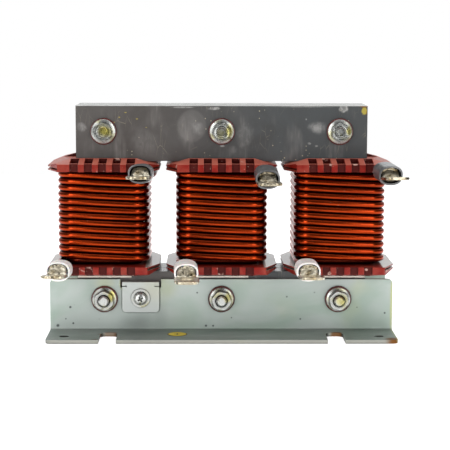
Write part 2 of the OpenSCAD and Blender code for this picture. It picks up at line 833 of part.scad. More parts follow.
lower_lug(RIGHT);  // right_lower_lug
lower_sleeve(RIGHT);  // right_lower_sleeve
front_bracket();
rear_bracket();
upper_bolts();
upper_nuts();
upper_fibre_washers();
upper_bolt_liners();
lower_bolts();
lower_nuts();
lower_fibre_washers();
lower_bolt_liners();
earth_tab();
earth_screw();
earth_spring_washer();
earth_flat_washer();
marker_dot();
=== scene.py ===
"""Three-phase iron-core choke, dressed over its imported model.

Every sub-assembly is a class that builds its meshes from the frame's boxes and a few real sizes,
and every finish is a small class that writes one procedural material. Lengths are in metres.
"""
from __future__ import annotations

import logging
import math
from contextlib import contextmanager
from dataclasses import dataclass, field, replace
from enum import Enum
from functools import cached_property
from typing import Iterator, Sequence

import bmesh
import bpy
import numpy as np
from bpy.types import ID, Material, Mesh, NodeSocket, NodeTree, Object
from mathutils import Matrix, Vector
from mathutils.geometry import tessellate_polygon


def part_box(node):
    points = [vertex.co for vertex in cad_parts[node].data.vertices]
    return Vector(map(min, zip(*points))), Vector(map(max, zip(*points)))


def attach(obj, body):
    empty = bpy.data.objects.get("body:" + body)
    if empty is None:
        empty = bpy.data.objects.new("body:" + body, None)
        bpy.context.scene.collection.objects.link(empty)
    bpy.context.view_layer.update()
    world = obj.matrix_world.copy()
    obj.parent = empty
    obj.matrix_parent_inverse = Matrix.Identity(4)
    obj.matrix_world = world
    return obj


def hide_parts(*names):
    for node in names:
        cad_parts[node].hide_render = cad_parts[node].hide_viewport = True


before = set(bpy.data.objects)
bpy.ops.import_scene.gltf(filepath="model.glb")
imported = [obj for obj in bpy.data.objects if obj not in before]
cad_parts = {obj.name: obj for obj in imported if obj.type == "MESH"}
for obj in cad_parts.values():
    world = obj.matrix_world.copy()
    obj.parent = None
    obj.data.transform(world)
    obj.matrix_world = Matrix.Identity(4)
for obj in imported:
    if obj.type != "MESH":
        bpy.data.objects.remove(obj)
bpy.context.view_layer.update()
LOG = logging.getLogger("choke")
MM = 0.001
BODY = "root"
MERGE = 1e-6
FLAT_ANGLE = 0.6
EDGE_ANGLE = 28.0
SHARP_ANGLE = 32.0
Array = np.ndarray
Triple = tuple[float, float, float]
Colour = Triple


def srgb(red: int, green: int, blue: int) -> Colour:
    """Turns a colour given in 0 to 255 display values into linear values."""
    shares = (value / 255.0 for value in (red, green, blue))
    return tuple(v / 12.92 if v <= 0.04045 else ((v + 0.055) / 1.055) ** 2.4 for v in shares)


class Phase(Enum):
    """The three coils, from left to right, with their order."""
    LEFT = 0
    MIDDLE = 1
    RIGHT = 2

    @property
    def word(self) -> str:
        """The name that the coil's nodes start with."""
        return self.name.lower()


class Row(Enum):
    """The two rows of lugs and of clamping bolts."""
    UPPER = "upper"
    LOWER = "lower"


@dataclass(frozen=True)
class Mark:
    """An oval stain or rub: its middle and half sizes in millimetres, its strength and softness.

    The second axis is Z on an upright face and Y on a level one.
    """
    x: float
    z: float
    half_x: float
    half_z: float
    amount: float = 1.0
    soft: float = 0.5
    axis: str = "Z"


Marks = tuple[Mark, ...]


def marks(*rows: tuple) -> Marks:
    """Makes a mark of each row of numbers."""
    return tuple(Mark(*row) for row in rows)


# Shader graphs


class Graph:
    """A node tree that starts empty, with one method that adds every node."""

    def __init__(self, tree: NodeTree) -> None:
        """Takes over and clears a node tree."""
        self.tree = tree
        tree.nodes.clear()

    def add(self, kind: str, sockets: dict, settings: dict | None = None, out: int | str = 0) -> Signal:
        """Adds a node, sets it up and links it.

        Args:
            kind: the node's type.
            sockets: values or signals by socket name or number.
            settings: node properties.
            out: the output that is wanted.

        Returns:
            The chosen output as a signal.
        """
        node = self.tree.nodes.new(kind)
        for key, value in (settings or {}).items():
            setattr(node, key, value)
        for key, value in sockets.items():
            self.feed(node.inputs[key], value)
        return Signal(self, node.outputs[out])

    def feed(self, socket: NodeSocket, value: Signal | float | Triple) -> None:
        """Links a signal to a socket, or sets the socket's own value."""
        if isinstance(value, Signal):
            self.tree.links.new(value.socket, socket)
        elif socket.type == "RGBA":
            socket.default_value = (*value, 1.0)
        else:
            socket.default_value = value

    def axis(self, name: str, vector: Signal) -> Signal:
        """One axis, X, Y or Z, of a vector."""
        return self.add("ShaderNodeSeparateXYZ", {0: vector}, out=name)


class Surface(Graph):
    """The graph of one material, with a principled surface and textures in the piece's coordinates."""

    def __init__(self, name: str) -> None:
        """Makes an empty material of a name."""
        self.material = bpy.data.materials.new(name)
        self.material.use_nodes = True
        super().__init__(self.material.node_tree)
        output = self.tree.nodes.new("ShaderNodeOutputMaterial")
        self.shader = self.tree.nodes.new("ShaderNodeBsdfPrincipled")
        self.tree.links.new(self.shader.outputs[0], output.inputs["Surface"])

    @cached_property
    def place(self) -> Signal:
        """The point of the surface in the piece's own coordinates."""
        return self.add("ShaderNodeTexCoord", {}, out="Object")

    def at(self, name: str) -> Signal:
        """One axis of the point of the surface."""
        return self.axis(name, self.place)

    def facing(self, name: str) -> Signal:
        """How far the surface faces along one axis, -1 to 1, in the piece's own coordinates."""
        return self.axis(name, self.add("ShaderNodeTexCoord", {}, out="Normal"))

    def openness(self, reach: float, samples: int = 6) -> Signal:
        """How open the surface lies within a reach: 1 in the open, 0 deep in a hollow."""
        return self.add("ShaderNodeAmbientOcclusion", {"Distance": reach}, {"samples": samples}, "AO")

    def _scaled(self, scale: float | Triple) -> tuple[Signal, float]:
        """The place and its scale; a scale by axis is worked into the place."""
        if isinstance(scale, tuple):
            return self.add("ShaderNodeVectorMath", {0: self.place, 1: scale},
                            {"operation": "MULTIPLY"}), 1.0
        return self.place, scale

    def noise(self, scale: float | Triple, detail: float = 3.0, rough: float = 0.55,
              distortion: float = 0.0) -> Signal:
        """Cloudy noise between 0 and 1, with about `scale` lumps a metre, along all or each axis."""
        place, scale = self._scaled(scale)
        return self.add("ShaderNodeTexNoise", {
            "Vector": place, "Scale": scale, "Detail": detail, "Roughness": rough,
            "Distortion": distortion})

    def cells(self, scale: float | Triple, feature: str = "F1") -> Signal:
        """Distance to scattered points, with about `scale` points a metre along a line."""
        place, scale = self._scaled(scale)
        return self.add("ShaderNodeTexVoronoi", {"Vector": place, "Scale": scale}, {"feature": feature},
                        "Distance")

    def specks(self, density: float, size: tuple[float, float], area: float,
               where: tuple[float, float]) -> Signal:
        """Small scattered dots, in some areas only.

        Args:
            density: dots a metre along a line.
            size: where a dot's rim starts and ends, as a share of the dots' distance.
            area: areas a metre along a line.
            where: the values of the areas' noise between which the dots set in.

        Returns:
            1 in a dot and 0 beside it.
        """
        return self.cells(density).step(*size) * self.noise(area, 2.0).step(*where)

    def paint(self, colour: Signal | Colour, *coats: tuple[Signal | float, Signal | Colour]) -> Signal:
        """Lays colours over one another.

        Args:
            colour: what lies under all coats.
            coats: the share, 0 to 1, and the colour of each.

        Returns:
            The mixed colour.
        """
        for share, coat in coats:
            colour = self.add("ShaderNodeMix", {0: share, 6: colour, 7: coat}, {"data_type": "RGBA"}, 2)
        return colour

    def bump(self, height: Signal, distance: float, strength: float = 1.0) -> Signal:
        """A normal tilted by a height of `distance` metres at full scale."""
        return self.add("ShaderNodeBump", {
            "Height": height, "Distance": distance, "Strength": strength}, out="Normal")

    def spot(self, mark: Mark, ragged: float) -> Signal:
        """An oval with a ragged rim, on a face along -Y or on a level face.

        Args:
            mark: where the oval lies and how big it is.
            ragged: how far noise moves the rim, as a share of the size.

        Returns:
            The mark's amount inside and 0 outside.
        """
        across = (self.at("X") - mark.x * MM) * (1.0 / (mark.half_x * MM))
        up = (self.at(mark.axis) - mark.z * MM) * (1.0 / (mark.half_z * MM))
        waver = self.noise(0.35 / (mark.half_x * MM), 4.0, 0.65) - 0.5
        away = across.length(up) + ragged * 2.0 * waver
        return away.step(1.0 + mark.soft, 1.0 - mark.soft) * mark.amount

    def strongest(self, marks: Sequence[Mark], ragged: float) -> Signal:
        """The strongest of several marks at each point."""
        total = self.spot(marks[0], ragged)
        for mark in marks[1:]:
            total = total.most(self.spot(mark, ragged))
        return total

    def coats(self, marks: Sequence[Mark], ragged: float, colour: Colour) -> list[tuple]:
        """A coat of one colour for each mark."""
        return [(self.spot(mark, ragged), colour) for mark in marks]

    def finish(self, **sockets: Signal | float | Colour) -> Material:
        """Sets or links the principled surface's own sockets.

        Args:
            sockets: values by socket name, with underscores for spaces.

        Returns:
            The finished material.
        """
        for key, value in sockets.items():
            self.feed(self.shader.inputs[key.replace("_", " ")], value)
        return self.material


class Signal:
    """A number that varies over a surface; arithmetic on it adds Math nodes."""

    def __init__(self, graph: Graph, socket: NodeSocket) -> None:
        """Wraps an output socket of a graph's node."""
        self.graph = graph
        self.socket = socket

    def _math(self, operation: str, first: Signal | float, second: Signal | float) -> Signal:
        """Adds one Math node."""
        return self.graph.add("ShaderNodeMath", {0: first, 1: second}, {"operation": operation})

    def __add__(self, other: Signal | float) -> Signal:
        """Sum."""
        return self._math("ADD", self, other)

    __radd__ = __add__

    def __sub__(self, other: Signal | float) -> Signal:
        """Difference."""
        return self._math("SUBTRACT", self, other)

    def __rsub__(self, other: float) -> Signal:
        """Difference from a number."""
        return self._math("SUBTRACT", other, self)

    def __mul__(self, other: Signal | float) -> Signal:
        """Product."""
        return self._math("MULTIPLY", self, other)

    __rmul__ = __mul__

    def most(self, other: Signal) -> Signal:
        """The larger of two values."""
        return self._math("MAXIMUM", self, other)

    def absolute(self) -> Signal:
        """Distance from zero."""
        return self._math("ABSOLUTE", self, 0.0)

    def length(self, other: Signal) -> Signal:
        """Length of the hypotenuse over two values."""
        return self._math("POWER", self * self + other * other, 0.5)

    def step(self, low: float, high: float) -> Signal:
        """A soft step: 0 under low, 1 over high, falling instead if low is over high."""
        return self.graph.add("ShaderNodeMapRange", {"Value": self, "From Min": low, "From Max": high},
                              {"interpolation_type": "SMOOTHSTEP"})


# Finishes


@dataclass(frozen=True)
class SheetSteel:
    """Varnished lamination steel: dull brown-grey faces with smears, and bare sheet edges."""
    face: Colour = srgb(92, 88, 85)
    cool: Colour = srgb(76, 79, 80)
    stain: Colour = srgb(58, 50, 44)
    rub: Colour = srgb(150, 146, 142)
    bright: Colour = srgb(196, 194, 190)
    dust: Colour = srgb(186, 176, 150)
    edge: Colour = srgb(238, 238, 234)
    gap: Colour = srgb(186, 186, 180)
    worn: Colour = srgb(120, 120, 112)
    side: Colour = srgb(120, 116, 108)
    varnish: Colour = srgb(186, 168, 66)
    burnt: Colour = srgb(126, 84, 22)
    wiped: Mark = Mark(-21.9, 154.7, 10.5, 12.0, 0.22, 0.1)
    rubs: Marks = ()
    runs: Marks = ()
    burns: Marks = ()
    cool_from: float = -70.0 * MM
    cool_to: float = 55.0 * MM
    crest: float = 169.8 * MM
    level: float = 1.0

    def build(self, g: Surface) -> Material:
        """Writes the material: clouds, brush strokes, scratches, specks, rubs and varnish runs."""
        cloud = g.noise(24.0, 4.0, 0.6, 0.8)
        streak = g.noise((420.0, 420.0, 30.0), 3.0, 0.6, 0.3)
        brush = g.noise((60.0, 60.0, 26.0), 3.0, 0.5).step(0.52, 0.8)
        fine = g.noise(900.0, 2.0)
        scratch = g.cells((240.0, 240.0, 60.0), "DISTANCE_TO_EDGE").step(0.02, 0.0)
        scratch = scratch * g.noise(40.0, 2.0).step(0.55, 0.7)
        speck = g.specks(240.0, (0.13, 0.09), 60.0, (0.5, 0.64))
        cool = (g.at("X") + 30.0 * MM * (cloud - 0.5)).step(self.cool_from, self.cool_to)
        colour = g.paint(
            self.face, (cool, self.cool), (cloud.step(0.4, 0.75) * 0.35, self.stain),
            (streak.step(0.4, 0.75) * brush * 0.5 + brush * 0.22, self.rub),
            ((scratch * 0.35).most(speck * 0.75), self.dust))
        gloss = brush * 0.3
        if self.rubs:
            patchy = g.noise((260.0, 260.0, 120.0), 4.0, 0.7, 0.4).step(0.36, 0.62)
            run = g.strongest(self.runs, 0.8)
            colour = g.paint(
                colour, (g.spot(self.wiped, 0.1) * (0.6 + 0.4 * cloud), self.rub),
                (g.strongest(self.rubs, 1.1) * (0.35 + 0.65 * patchy) * (0.6 + 0.4 * fine),
                 self.bright), (run, self.varnish), (g.strongest(self.burns, 0.1), self.burnt))
            gloss = gloss.most(run)
        top = g.at("Z").step(self.crest - 0.5 * MM, self.crest - 0.3 * MM)
        bare = g.facing("Z").absolute().step(0.6, 0.9).most(top)
        sheets = g.noise((14.0, 2600.0, 14.0), 2.0, 0.6)
        worn = g.noise((30.0, 120.0, 30.0), 3.0, 0.6).step(0.5, 0.8)
        steel = g.paint(self.gap, (sheets.step(0.2, 0.7), self.edge), (worn * 0.35, self.worn))
        side = g.facing("X").absolute().step(0.6, 0.9)
        colour = g.paint(colour, (bare * self.level, steel), (side * (0.3 + 0.4 * sheets), self.side))
        rough = 0.5 + 0.16 * fine - 0.14 * gloss + 0.08 * streak - 0.3 * bare
        return g.finish(Base_Color=colour, Roughness=rough, Metallic=0.35,
                        Coat_Weight=0.15 + 0.85 * bare, Coat_Roughness=0.2,
                        Normal=g.bump(0.4 * fine + 0.4 * streak + scratch, 0.015 * MM, 0.5))


@dataclass(frozen=True)
class ZincSheet:
    """Zinc-plated sheet with a passivated, faintly green and yellow bloom."""
    base: Colour = srgb(181, 190, 185)
    green: Colour = srgb(162, 178, 167)
    yellow: Colour = srgb(192, 194, 120)
    rust: Colour = srgb(116, 72, 20)
    fleck: Colour = srgb(52, 54, 60)
    pit: Colour = srgb(40, 42, 50)
    # Colours of the painted shade patches and of the painted shade along seams and in crevices.
    smudge: Colour = srgb(104, 112, 106)
    soot_and_shade: Colour = srgb(38, 36, 32)
    dull: Colour = srgb(152, 160, 155)
    dull_green: Colour = srgb(130, 144, 135)
    rubbed: Colour = srgb(196, 200, 196)
    cut: Colour = srgb(150, 147, 138)
    shadow: Colour = srgb(30, 28, 24)
    foot: bool = False
    foot_edge: tuple[float, float] = (59.0 * MM, 60.5 * MM)
    slot_edge: tuple[float, float] = (36.0 * MM, 38.0 * MM)
    seam: float = 2.4 * MM
    stains: Marks = ()
    shade_patches: Marks = ()
    specks: Marks = ()

    def build(self, g: Surface) -> Material:
        """Writes the material: broad blooms, rubs, dark specks, painted shade patches, painted shade
        along seams and in crevices, and stains.
        """
        bloom = g.noise((16.0, 30.0, 30.0), 3.0, 0.5, 0.8)
        tint = g.noise((28.6, 65.0, 23.4), 2.0, 0.5)
        fine = g.noise(1400.0, 2.0)
        rub = g.noise((60.0, 300.0, 300.0), 3.0, 0.6)
        fleck = g.specks(110.0, (0.09, 0.05), 34.0, (0.48, 0.58))
        colour = g.paint(self.base, (bloom.step(0.35, 0.7), self.green),
                         (tint.step(0.55, 0.8) * 0.3, self.yellow), (fleck * 0.7, self.fleck))
        if self.foot:
            colour = self._foot(g, colour, bloom, rub)
        stains = ((g.spot(mark, 0.4), self.yellow if mark.axis == "Z" else self.rust)
                  for mark in self.stains)
        # Painted shade: dark patches by the earth tab and near the foot's bend, and darkening wherever
        # the surface is hemmed in within the seam's reach.
        colour = g.paint(
            colour, *g.coats(self.shade_patches, 0.5, self.smudge), *g.coats(self.specks, 0.4, self.pit),
            (g.openness(self.seam).step(0.78, 0.45) * 0.85, self.soot_and_shade), *stains)
        return g.finish(Base_Color=colour, Roughness=0.4 + 0.16 * rub + 0.08 * fine, Metallic=0.6,
                        Normal=g.bump(fine + rub, 0.01 * MM, 0.5))

    def _foot(self, g: Surface, colour: Signal, bloom: Signal, rub: Signal) -> Signal:
        """Dulls the level foot, pales its cut front edge and shades the walls of its slots.

        Args:
            g: the material's graph.
            colour: the sheet's colour so far.
            bloom: the broad clouds.
            rub: the fine rubs.

        Returns:
            The new colour.
        """
        level = g.at("Z").step(4.6 * MM, 3.4 * MM) * g.facing("Z").step(0.4, 0.9)
        dull = g.paint(self.dull, (bloom.step(0.3, 0.75), self.dull_green),
                       (rub.step(0.45, 0.75) * 0.3, self.rubbed))
        cut = g.at("Z").step(4.0 * MM, 3.0 * MM) * g.facing("Z").absolute().step(0.5, 0.2)
        depth = g.at("Y").absolute()
        rim = depth.step(*self.foot_edge)
        wall = cut * rim.step(0.5, 0.3) * depth.step(*self.slot_edge)
        return g.paint(colour, (level, dull), (cut * rim * 0.8, self.cut), (wall * 0.95, self.shadow))


@dataclass(frozen=True)
class BrightZinc:
    """Bright zinc on turned and pressed fasteners, with a yellow-green bloom in some places."""
    base: Colour = srgb(194, 196, 192)
    bloom: Colour = srgb(200, 188, 80)
    olive: Colour = srgb(112, 108, 44)
    pit: Colour = srgb(96, 96, 94)
    # Colour of the painted shade in crevices.
    soot_and_shade: Colour = srgb(46, 48, 44)
    blooms: Marks = ()
    crevice: float = 3.6 * MM

    def build(self, g: Surface) -> Material:
        """Writes the material: a bright metal with tinted clouds, pits and painted shade in its
        crevices.
        """
        cloud = g.noise(120.0, 2.0, 0.5)
        fine = g.noise(1100.0, 3.0)
        colour = g.paint(self.base, (cloud.step(0.5, 0.68) * 0.4, self.bloom))
        olive = g.noise(210.0, 2.0).step(0.58, 0.7)
        for mark in self.blooms:
            tint = g.spot(mark, 0.5)
            colour = g.paint(colour, (tint, self.bloom))
            olive = olive.most(tint * g.noise(330.0, 2.0).step(0.42, 0.62))
        # The last coat is painted shade, dark where the surface is hemmed in within the crevice reach.
        colour = g.paint(colour, (olive * 0.6, self.olive),
                         (g.cells(800.0).step(0.2, 0.05) * 0.5, self.pit),
                         (g.openness(self.crevice, 8).step(0.96, 0.7) * 0.9, self.soot_and_shade))
        return g.finish(Base_Color=colour, Roughness=0.2 + 0.12 * fine + 0.06 * cloud, Metallic=0.8,
                        Normal=g.bump(0.4 * fine + 2.0 * cloud, 0.05 * MM, 0.6))


@dataclass(frozen=True)
class EnamelledCopper:
    """Round copper wire under dark glossy enamel and a coat of dipping varnish."""
    base: Colour = srgb(168, 56, 14)
    deep: Colour = srgb(92, 22, 6)
    # Colour of the painted shade in the grooves between turns.
    groove_shade: Colour = srgb(30, 6, 3)
    nib: Colour = srgb(226, 190, 160)
    groove: float = 3.0 * MM

    def build(self, g: Surface) -> Material:
        """Writes the material: the enamel deepens in clouds, the grooves between turns get painted
        shade, and it carries varnish nibs.
        """
        run = g.noise((110.0, 110.0, 420.0), 2.0)
        nib = g.specks(260.0, (0.12, 0.06), 50.0, (0.55, 0.66))
        # Painted shade darkens the grooves between turns.
        colour = g.paint(self.base, (g.noise(30.0, 3.0, 0.5).step(0.35, 0.7) * 0.5, self.deep),
                         (g.openness(self.groove).step(0.92, 0.62) * 0.9, self.groove_shade),
                         (nib * 0.6, self.nib))
        return g.finish(Base_Color=colour, Roughness=0.2 + 0.1 * run, Metallic=0.97,
                        Coat_Weight=0.04, Coat_Roughness=0.1, Normal=g.bump(run + nib, 0.04 * MM, 0.4))


@dataclass(frozen=True)
class VarnishedResin:
    """Red-brown moulded resin, dipped in varnish, with painted shade in its hollows and recesses,
    painted light on its tops and sloping ears, and painted glints.

    The upper flanges' tops lie over `top_z`; the lower flanges' sloping ears lie beyond `ears` from
    the coil's middle and under `ears_z`. The pockets lie behind the flanges' front plane.
    """
    base: Colour = srgb(130, 22, 13)
    # The pale colour serves the mottling and the painted light on the upper tops; the next colours
    # serve varnish pools and painted shade, a painted reflection on the lower ears, and painted glints.
    pale: Colour = srgb(206, 112, 92)
    pool: Colour = srgb(60, 8, 4)
    ear: Colour = srgb(206, 206, 194)
    glint: Colour = srgb(232, 190, 174)
    middle: float = 0.0
    front: float = 41.0 * MM
    top_z: tuple[float, float] = (90.0 * MM, 100.0 * MM)
    ears: tuple[float, float] = (30.5 * MM, 32.0 * MM)
    ears_z: tuple[float, float] = (70.0 * MM, 60.0 * MM)

    def build(self, g: Surface) -> Material:
        """Writes the material: mottled resin with glossy varnish and random varnish pools, painted
        shade in hollows and recesses, painted light and reflection on tops and ears, and painted
        glints.
        """
        cloud, fine = g.noise(90.0, 3.0), g.noise(800.0, 2.0)
        nib = g.specks(380.0, (0.14, 0.07), 90.0, (0.5, 0.6))
        openness = g.openness(5.0 * MM)
        # Painted light on the upper flanges' tops.
        level = g.facing("Z").step(0.3, 0.9) * g.at("Z").step(*self.top_z)
        # Painted shade in the recesses behind the front plane.
        recess = g.at("Y").absolute().step(self.front - 0.4 * MM, self.front - 0.9 * MM)
        recess = recess * g.facing("Y").absolute().step(0.4, 0.8)
        # Painted reflection on the lower flanges' sloping ears.
        slope = (g.at("X") - self.middle).absolute().step(*self.ears)
        slope = slope * g.facing("Z").step(0.5, 0.8) * g.at("Z").step(*self.ears_z)
        # Painted glints where the pockets open out.
        glint = g.noise(170.0, 2.0, 0.5).step(0.66, 0.74) * openness.step(0.3, 0.6)
        colour = g.paint(
            self.base, (cloud.step(0.35, 0.7) * 0.2, self.pale),
            (g.noise(60.0, 2.0).step(0.5, 0.75) * 0.3, self.pool),
            # Painted shade in hollows.
            (openness.step(0.8, 0.3) * 0.8, self.pool),
            (level * (0.62 + 0.38 * cloud), self.pale), (recess * 0.9, self.pool),
            # The nibs and the pocket glints take a painted highlight colour.
            (slope * (0.6 + 0.3 * cloud), self.ear), (nib.most(glint) * 0.6, self.glint))
        return g.finish(Base_Color=colour, Roughness=0.36 + 0.14 * fine,
                        Coat_Weight=0.14 - 0.1 * recess + 0.8 * slope, Coat_Roughness=0.08,
                        Specular_IOR_Level=0.15,
                        Normal=g.bump(cloud + 0.4 * fine + nib, 0.15 * MM, 0.5))


@dataclass(frozen=True)
class PressBoard:
    """Pale insulating board with cloudy fibres, a little darker where varnish has soaked in."""
    base: Colour = srgb(232, 224, 212)
    soaked: Colour = srgb(206, 178, 138)
    thread: Colour = srgb(190, 180, 168)

    def build(self, g: Surface) -> Material:
        """Writes the material: long soft fibres and soaked clouds."""
        fibre = g.noise((260.0, 260.0, 1200.0))
        colour = g.paint(self.base, (g.noise(70.0).step(0.5, 0.75) * 0.35, self.soaked),
                         (fibre * 0.15, self.thread))
        return g.finish(Base_Color=colour, Roughness=0.62 + 0.15 * fibre,
                        Normal=g.bump(fibre, 0.05 * MM, 0.5))


BOARD = ("white_board", "press board", PressBoard())


@dataclass(frozen=True)
class FibreSheet:
    """Dark red vulcanised fibre in two tones, slightly glossy."""
    base: Colour = srgb(96, 26, 18)
    dark: Colour = srgb(50, 12, 8)

    def build(self, g: Surface) -> Material:
        """Writes the material: pressed fibres in two tones."""
        fibre = g.noise(500.0, 4.0, 0.65)
        return g.finish(Base_Color=g.paint(self.base, (fibre.step(0.35, 0.75), self.dark)),
                        Roughness=0.4 + 0.2 * fibre, Coat_Weight=0.25,
                        Normal=g.bump(fibre, 0.06 * MM, 0.5))


class Sleeving(Enum):
    """The two kinds of heat-shrink sleeve: body and worn colour, roughness, glow within and coat."""
    BLACK = (srgb(82, 82, 83), srgb(128, 126, 126), 0.4, 0.0, 1.0)
    MILKY = (srgb(250, 246, 242), srgb(236, 224, 216), 0.42, 0.12, 0.0)


@dataclass(frozen=True)
class HeatShrink:
    """Heat-shrink sleeve, satin, with faint rings where it has drawn in."""
    kind: Sleeving

    def build(self, g: Surface) -> Material:
        """Writes the material: rubbed clouds and fine shrink rings."""
        body, worn, rough, glow, coat = self.kind.value
        cloud = g.noise(130.0)
        ring = g.noise((80.0, 700.0, 80.0), 2.0)
        return g.finish(Base_Color=g.paint(body, (cloud.step(0.45, 0.75) * 0.5, worn)),
                        Roughness=rough + 0.14 * ring, Subsurface_Weight=glow,
                        Subsurface_Scale=2.0 * MM, Coat_Weight=coat, Coat_Roughness=0.24,
                        Normal=g.bump(ring + cloud, 0.06 * MM, 0.45))


@dataclass(frozen=True)
class TinnedCopper:
    """Tinned lug with hammered crimp marks and yellowed flux in its folds."""
    base: Colour = srgb(216, 210, 192)
    flux: Colour = srgb(150, 122, 58)
    # Colour of the soot patches and of the painted shade in creases.
    soot_and_shade: Colour = srgb(44, 40, 30)
    crease: float = 1.5 * MM

    def build(self, g: Surface) -> Material:
        """Writes the material: bright tin, dimpled, with flux and soot where they have run, and painted
        shade in its creases.
        """
        dimple = g.noise(420.0, 3.0, 0.6, 0.4)
        edge = g.facing("Y").absolute().step(0.6, 0.9)
        # Soot in patches, and painted shade in creases within the crease reach.
        soot_and_shade = (0.85 * g.noise(300.0, 3.0, 0.6).step(0.54, 0.64)).most(
            0.9 * g.openness(self.crease).step(0.85, 0.5))
        colour = g.paint(self.base, (g.noise(150.0, 2.0).step(0.46, 0.68) * 0.6, self.flux),
                         (edge * 0.35, self.flux), (soot_and_shade, self.soot_and_shade))
        return g.finish(Base_Color=colour, Roughness=0.2 + 0.2 * dimple, Metallic=0.95,
                        Normal=g.bump(dimple, 0.6 * MM, 0.8))


@dataclass(frozen=True)
class MarkerPaper:
    """Yellow paper dot with a dark rim and two short crossed bars as its only mark."""
    centre: tuple[float, float]
    radius: float
    paper: Colour = srgb(232, 204, 36)
    shade: Colour = srgb(190, 160, 30)
    ink: Colour = srgb(50, 44, 20)
    rim: tuple[float, float] = (0.86, 0.93)

    def build(self, g: Surface) -> Material:
        """Writes the material: distances from the dot's centre draw the rim and the mark."""
        x, y = g.at("X") - self.centre[0], g.at("Y") - self.centre[1]
        rim = (x.length(y) * (1.0 / self.radius)).step(*self.rim)
        x, y = x.absolute(), y.absolute()
        lengthwise = x.step(0.7 * MM, 0.5 * MM) * y.step(2.6 * MM, 2.3 * MM)
        crosswise = x.step(2.4 * MM, 2.1 * MM) * y.step(0.6 * MM, 0.4 * MM)
        fibre = g.noise(900.0)
        colour = g.paint(self.paper, (fibre * 0.2, self.shade),
                         (rim.most(lengthwise).most(crosswise) * 0.85, self.ink))
        return g.finish(Base_Color=colour, Roughness=0.5 + 0.1 * fibre,
                        Normal=g.bump(fibre, 0.02 * MM, 0.4))


# Meshes


def ramp(value: Array, start: float, end: float) -> Array:
    """An eased step: 0 before the start, 1 past the end."""
    t = np.clip((value - start) / (end - start), 0.0, 1.0)
    return t * t * (3.0 - 2.0 * t)


def unit(vectors: Array) -> Array:
    """Scales vectors to the length of 1."""
    return vectors / np.linalg.norm(vectors, axis=-1, keepdims=True)


def circle(count: int) -> Array:
    """Evenly spaced angles round a full turn."""
    return np.linspace(0.0, 2.0 * np.pi, count, endpoint=False)


def disc(centre: tuple[float, float], radius: float, count: int = 28) -> Array:
    """Points round a circle, as rows of two coordinates."""
    turn = circle(count)
    return np.stack([centre[0] + radius * np.cos(turn), centre[1] + radius * np.sin(turn)], axis=-1)


def lathe(reach: Array, along: Array, angle: Array) -> Array:
    """Rings round an axis.

    Args:
        reach: the rings' radii, one for each ring or for each of its points.
        along: where each ring lies along the axis.
        angle: the angles of a ring's points.

    Returns:
        Array of rings by points by (across, up, along the axis).
    """
    reach = reach.reshape(len(along), -1)
    return np.stack(np.broadcast_arrays(reach * np.cos(angle), reach * np.sin(angle), along[:, None]),
                    axis=-1)


def stand(rings: Array, x: float, z: float, seat: float = 0.0, side: float = 1.0) -> Array:
    """Turns rings from their own frame to stand out of a seat towards one side along Y."""
    return np.stack([x + rings[..., 0], seat + side * rings[..., 2], z + rings[..., 1]], axis=-1)


def superellipse(half_w: Array, half_h: Array, power: Array, count: int) -> tuple[Array, Array]:
    """Cross-sections between oval and rectangle: |x/a|^n + |z/b|^n = 1, one row for each station.

    Args:
        half_w: half width at each station.
        half_h: half height at each station.
        power: the exponent n at each station, 2 for an ellipse.
        count: points round a section.

    Returns:
        The X and Z of each row's points.
    """
    share = 2.0 / np.asarray(power, float)[:, None]
    return tuple(np.asarray(half)[:, None] * np.sign(wave) * np.abs(wave) ** share
                 for half, wave in ((half_w, np.cos(circle(count))), (half_h, np.sin(circle(count)))))


def linked(name: str, data: ID) -> Object:
    """Makes an object of a mesh, camera or light and links it to the scene."""
    made = bpy.data.objects.new(name, data)
    bpy.context.scene.collection.objects.link(made)
    return made


@contextmanager
def merged(mesh: Mesh, distance: float) -> Iterator[bmesh.types.BMesh]:
    """Opens a mesh with its double points merged, and writes it back at the end."""
    work = bmesh.new()
    work.from_mesh(mesh)
    bmesh.ops.remove_doubles(work, verts=work.verts, dist=distance)
    yield work
    work.to_mesh(mesh)
    work.free()


def smooth(mesh: Mesh, sharp: float) -> None:
    """Shades a mesh smooth but for edges over an angle in degrees."""
    mesh.shade_smooth()
    mesh.set_sharp_from_angle(angle=math.radians(sharp))


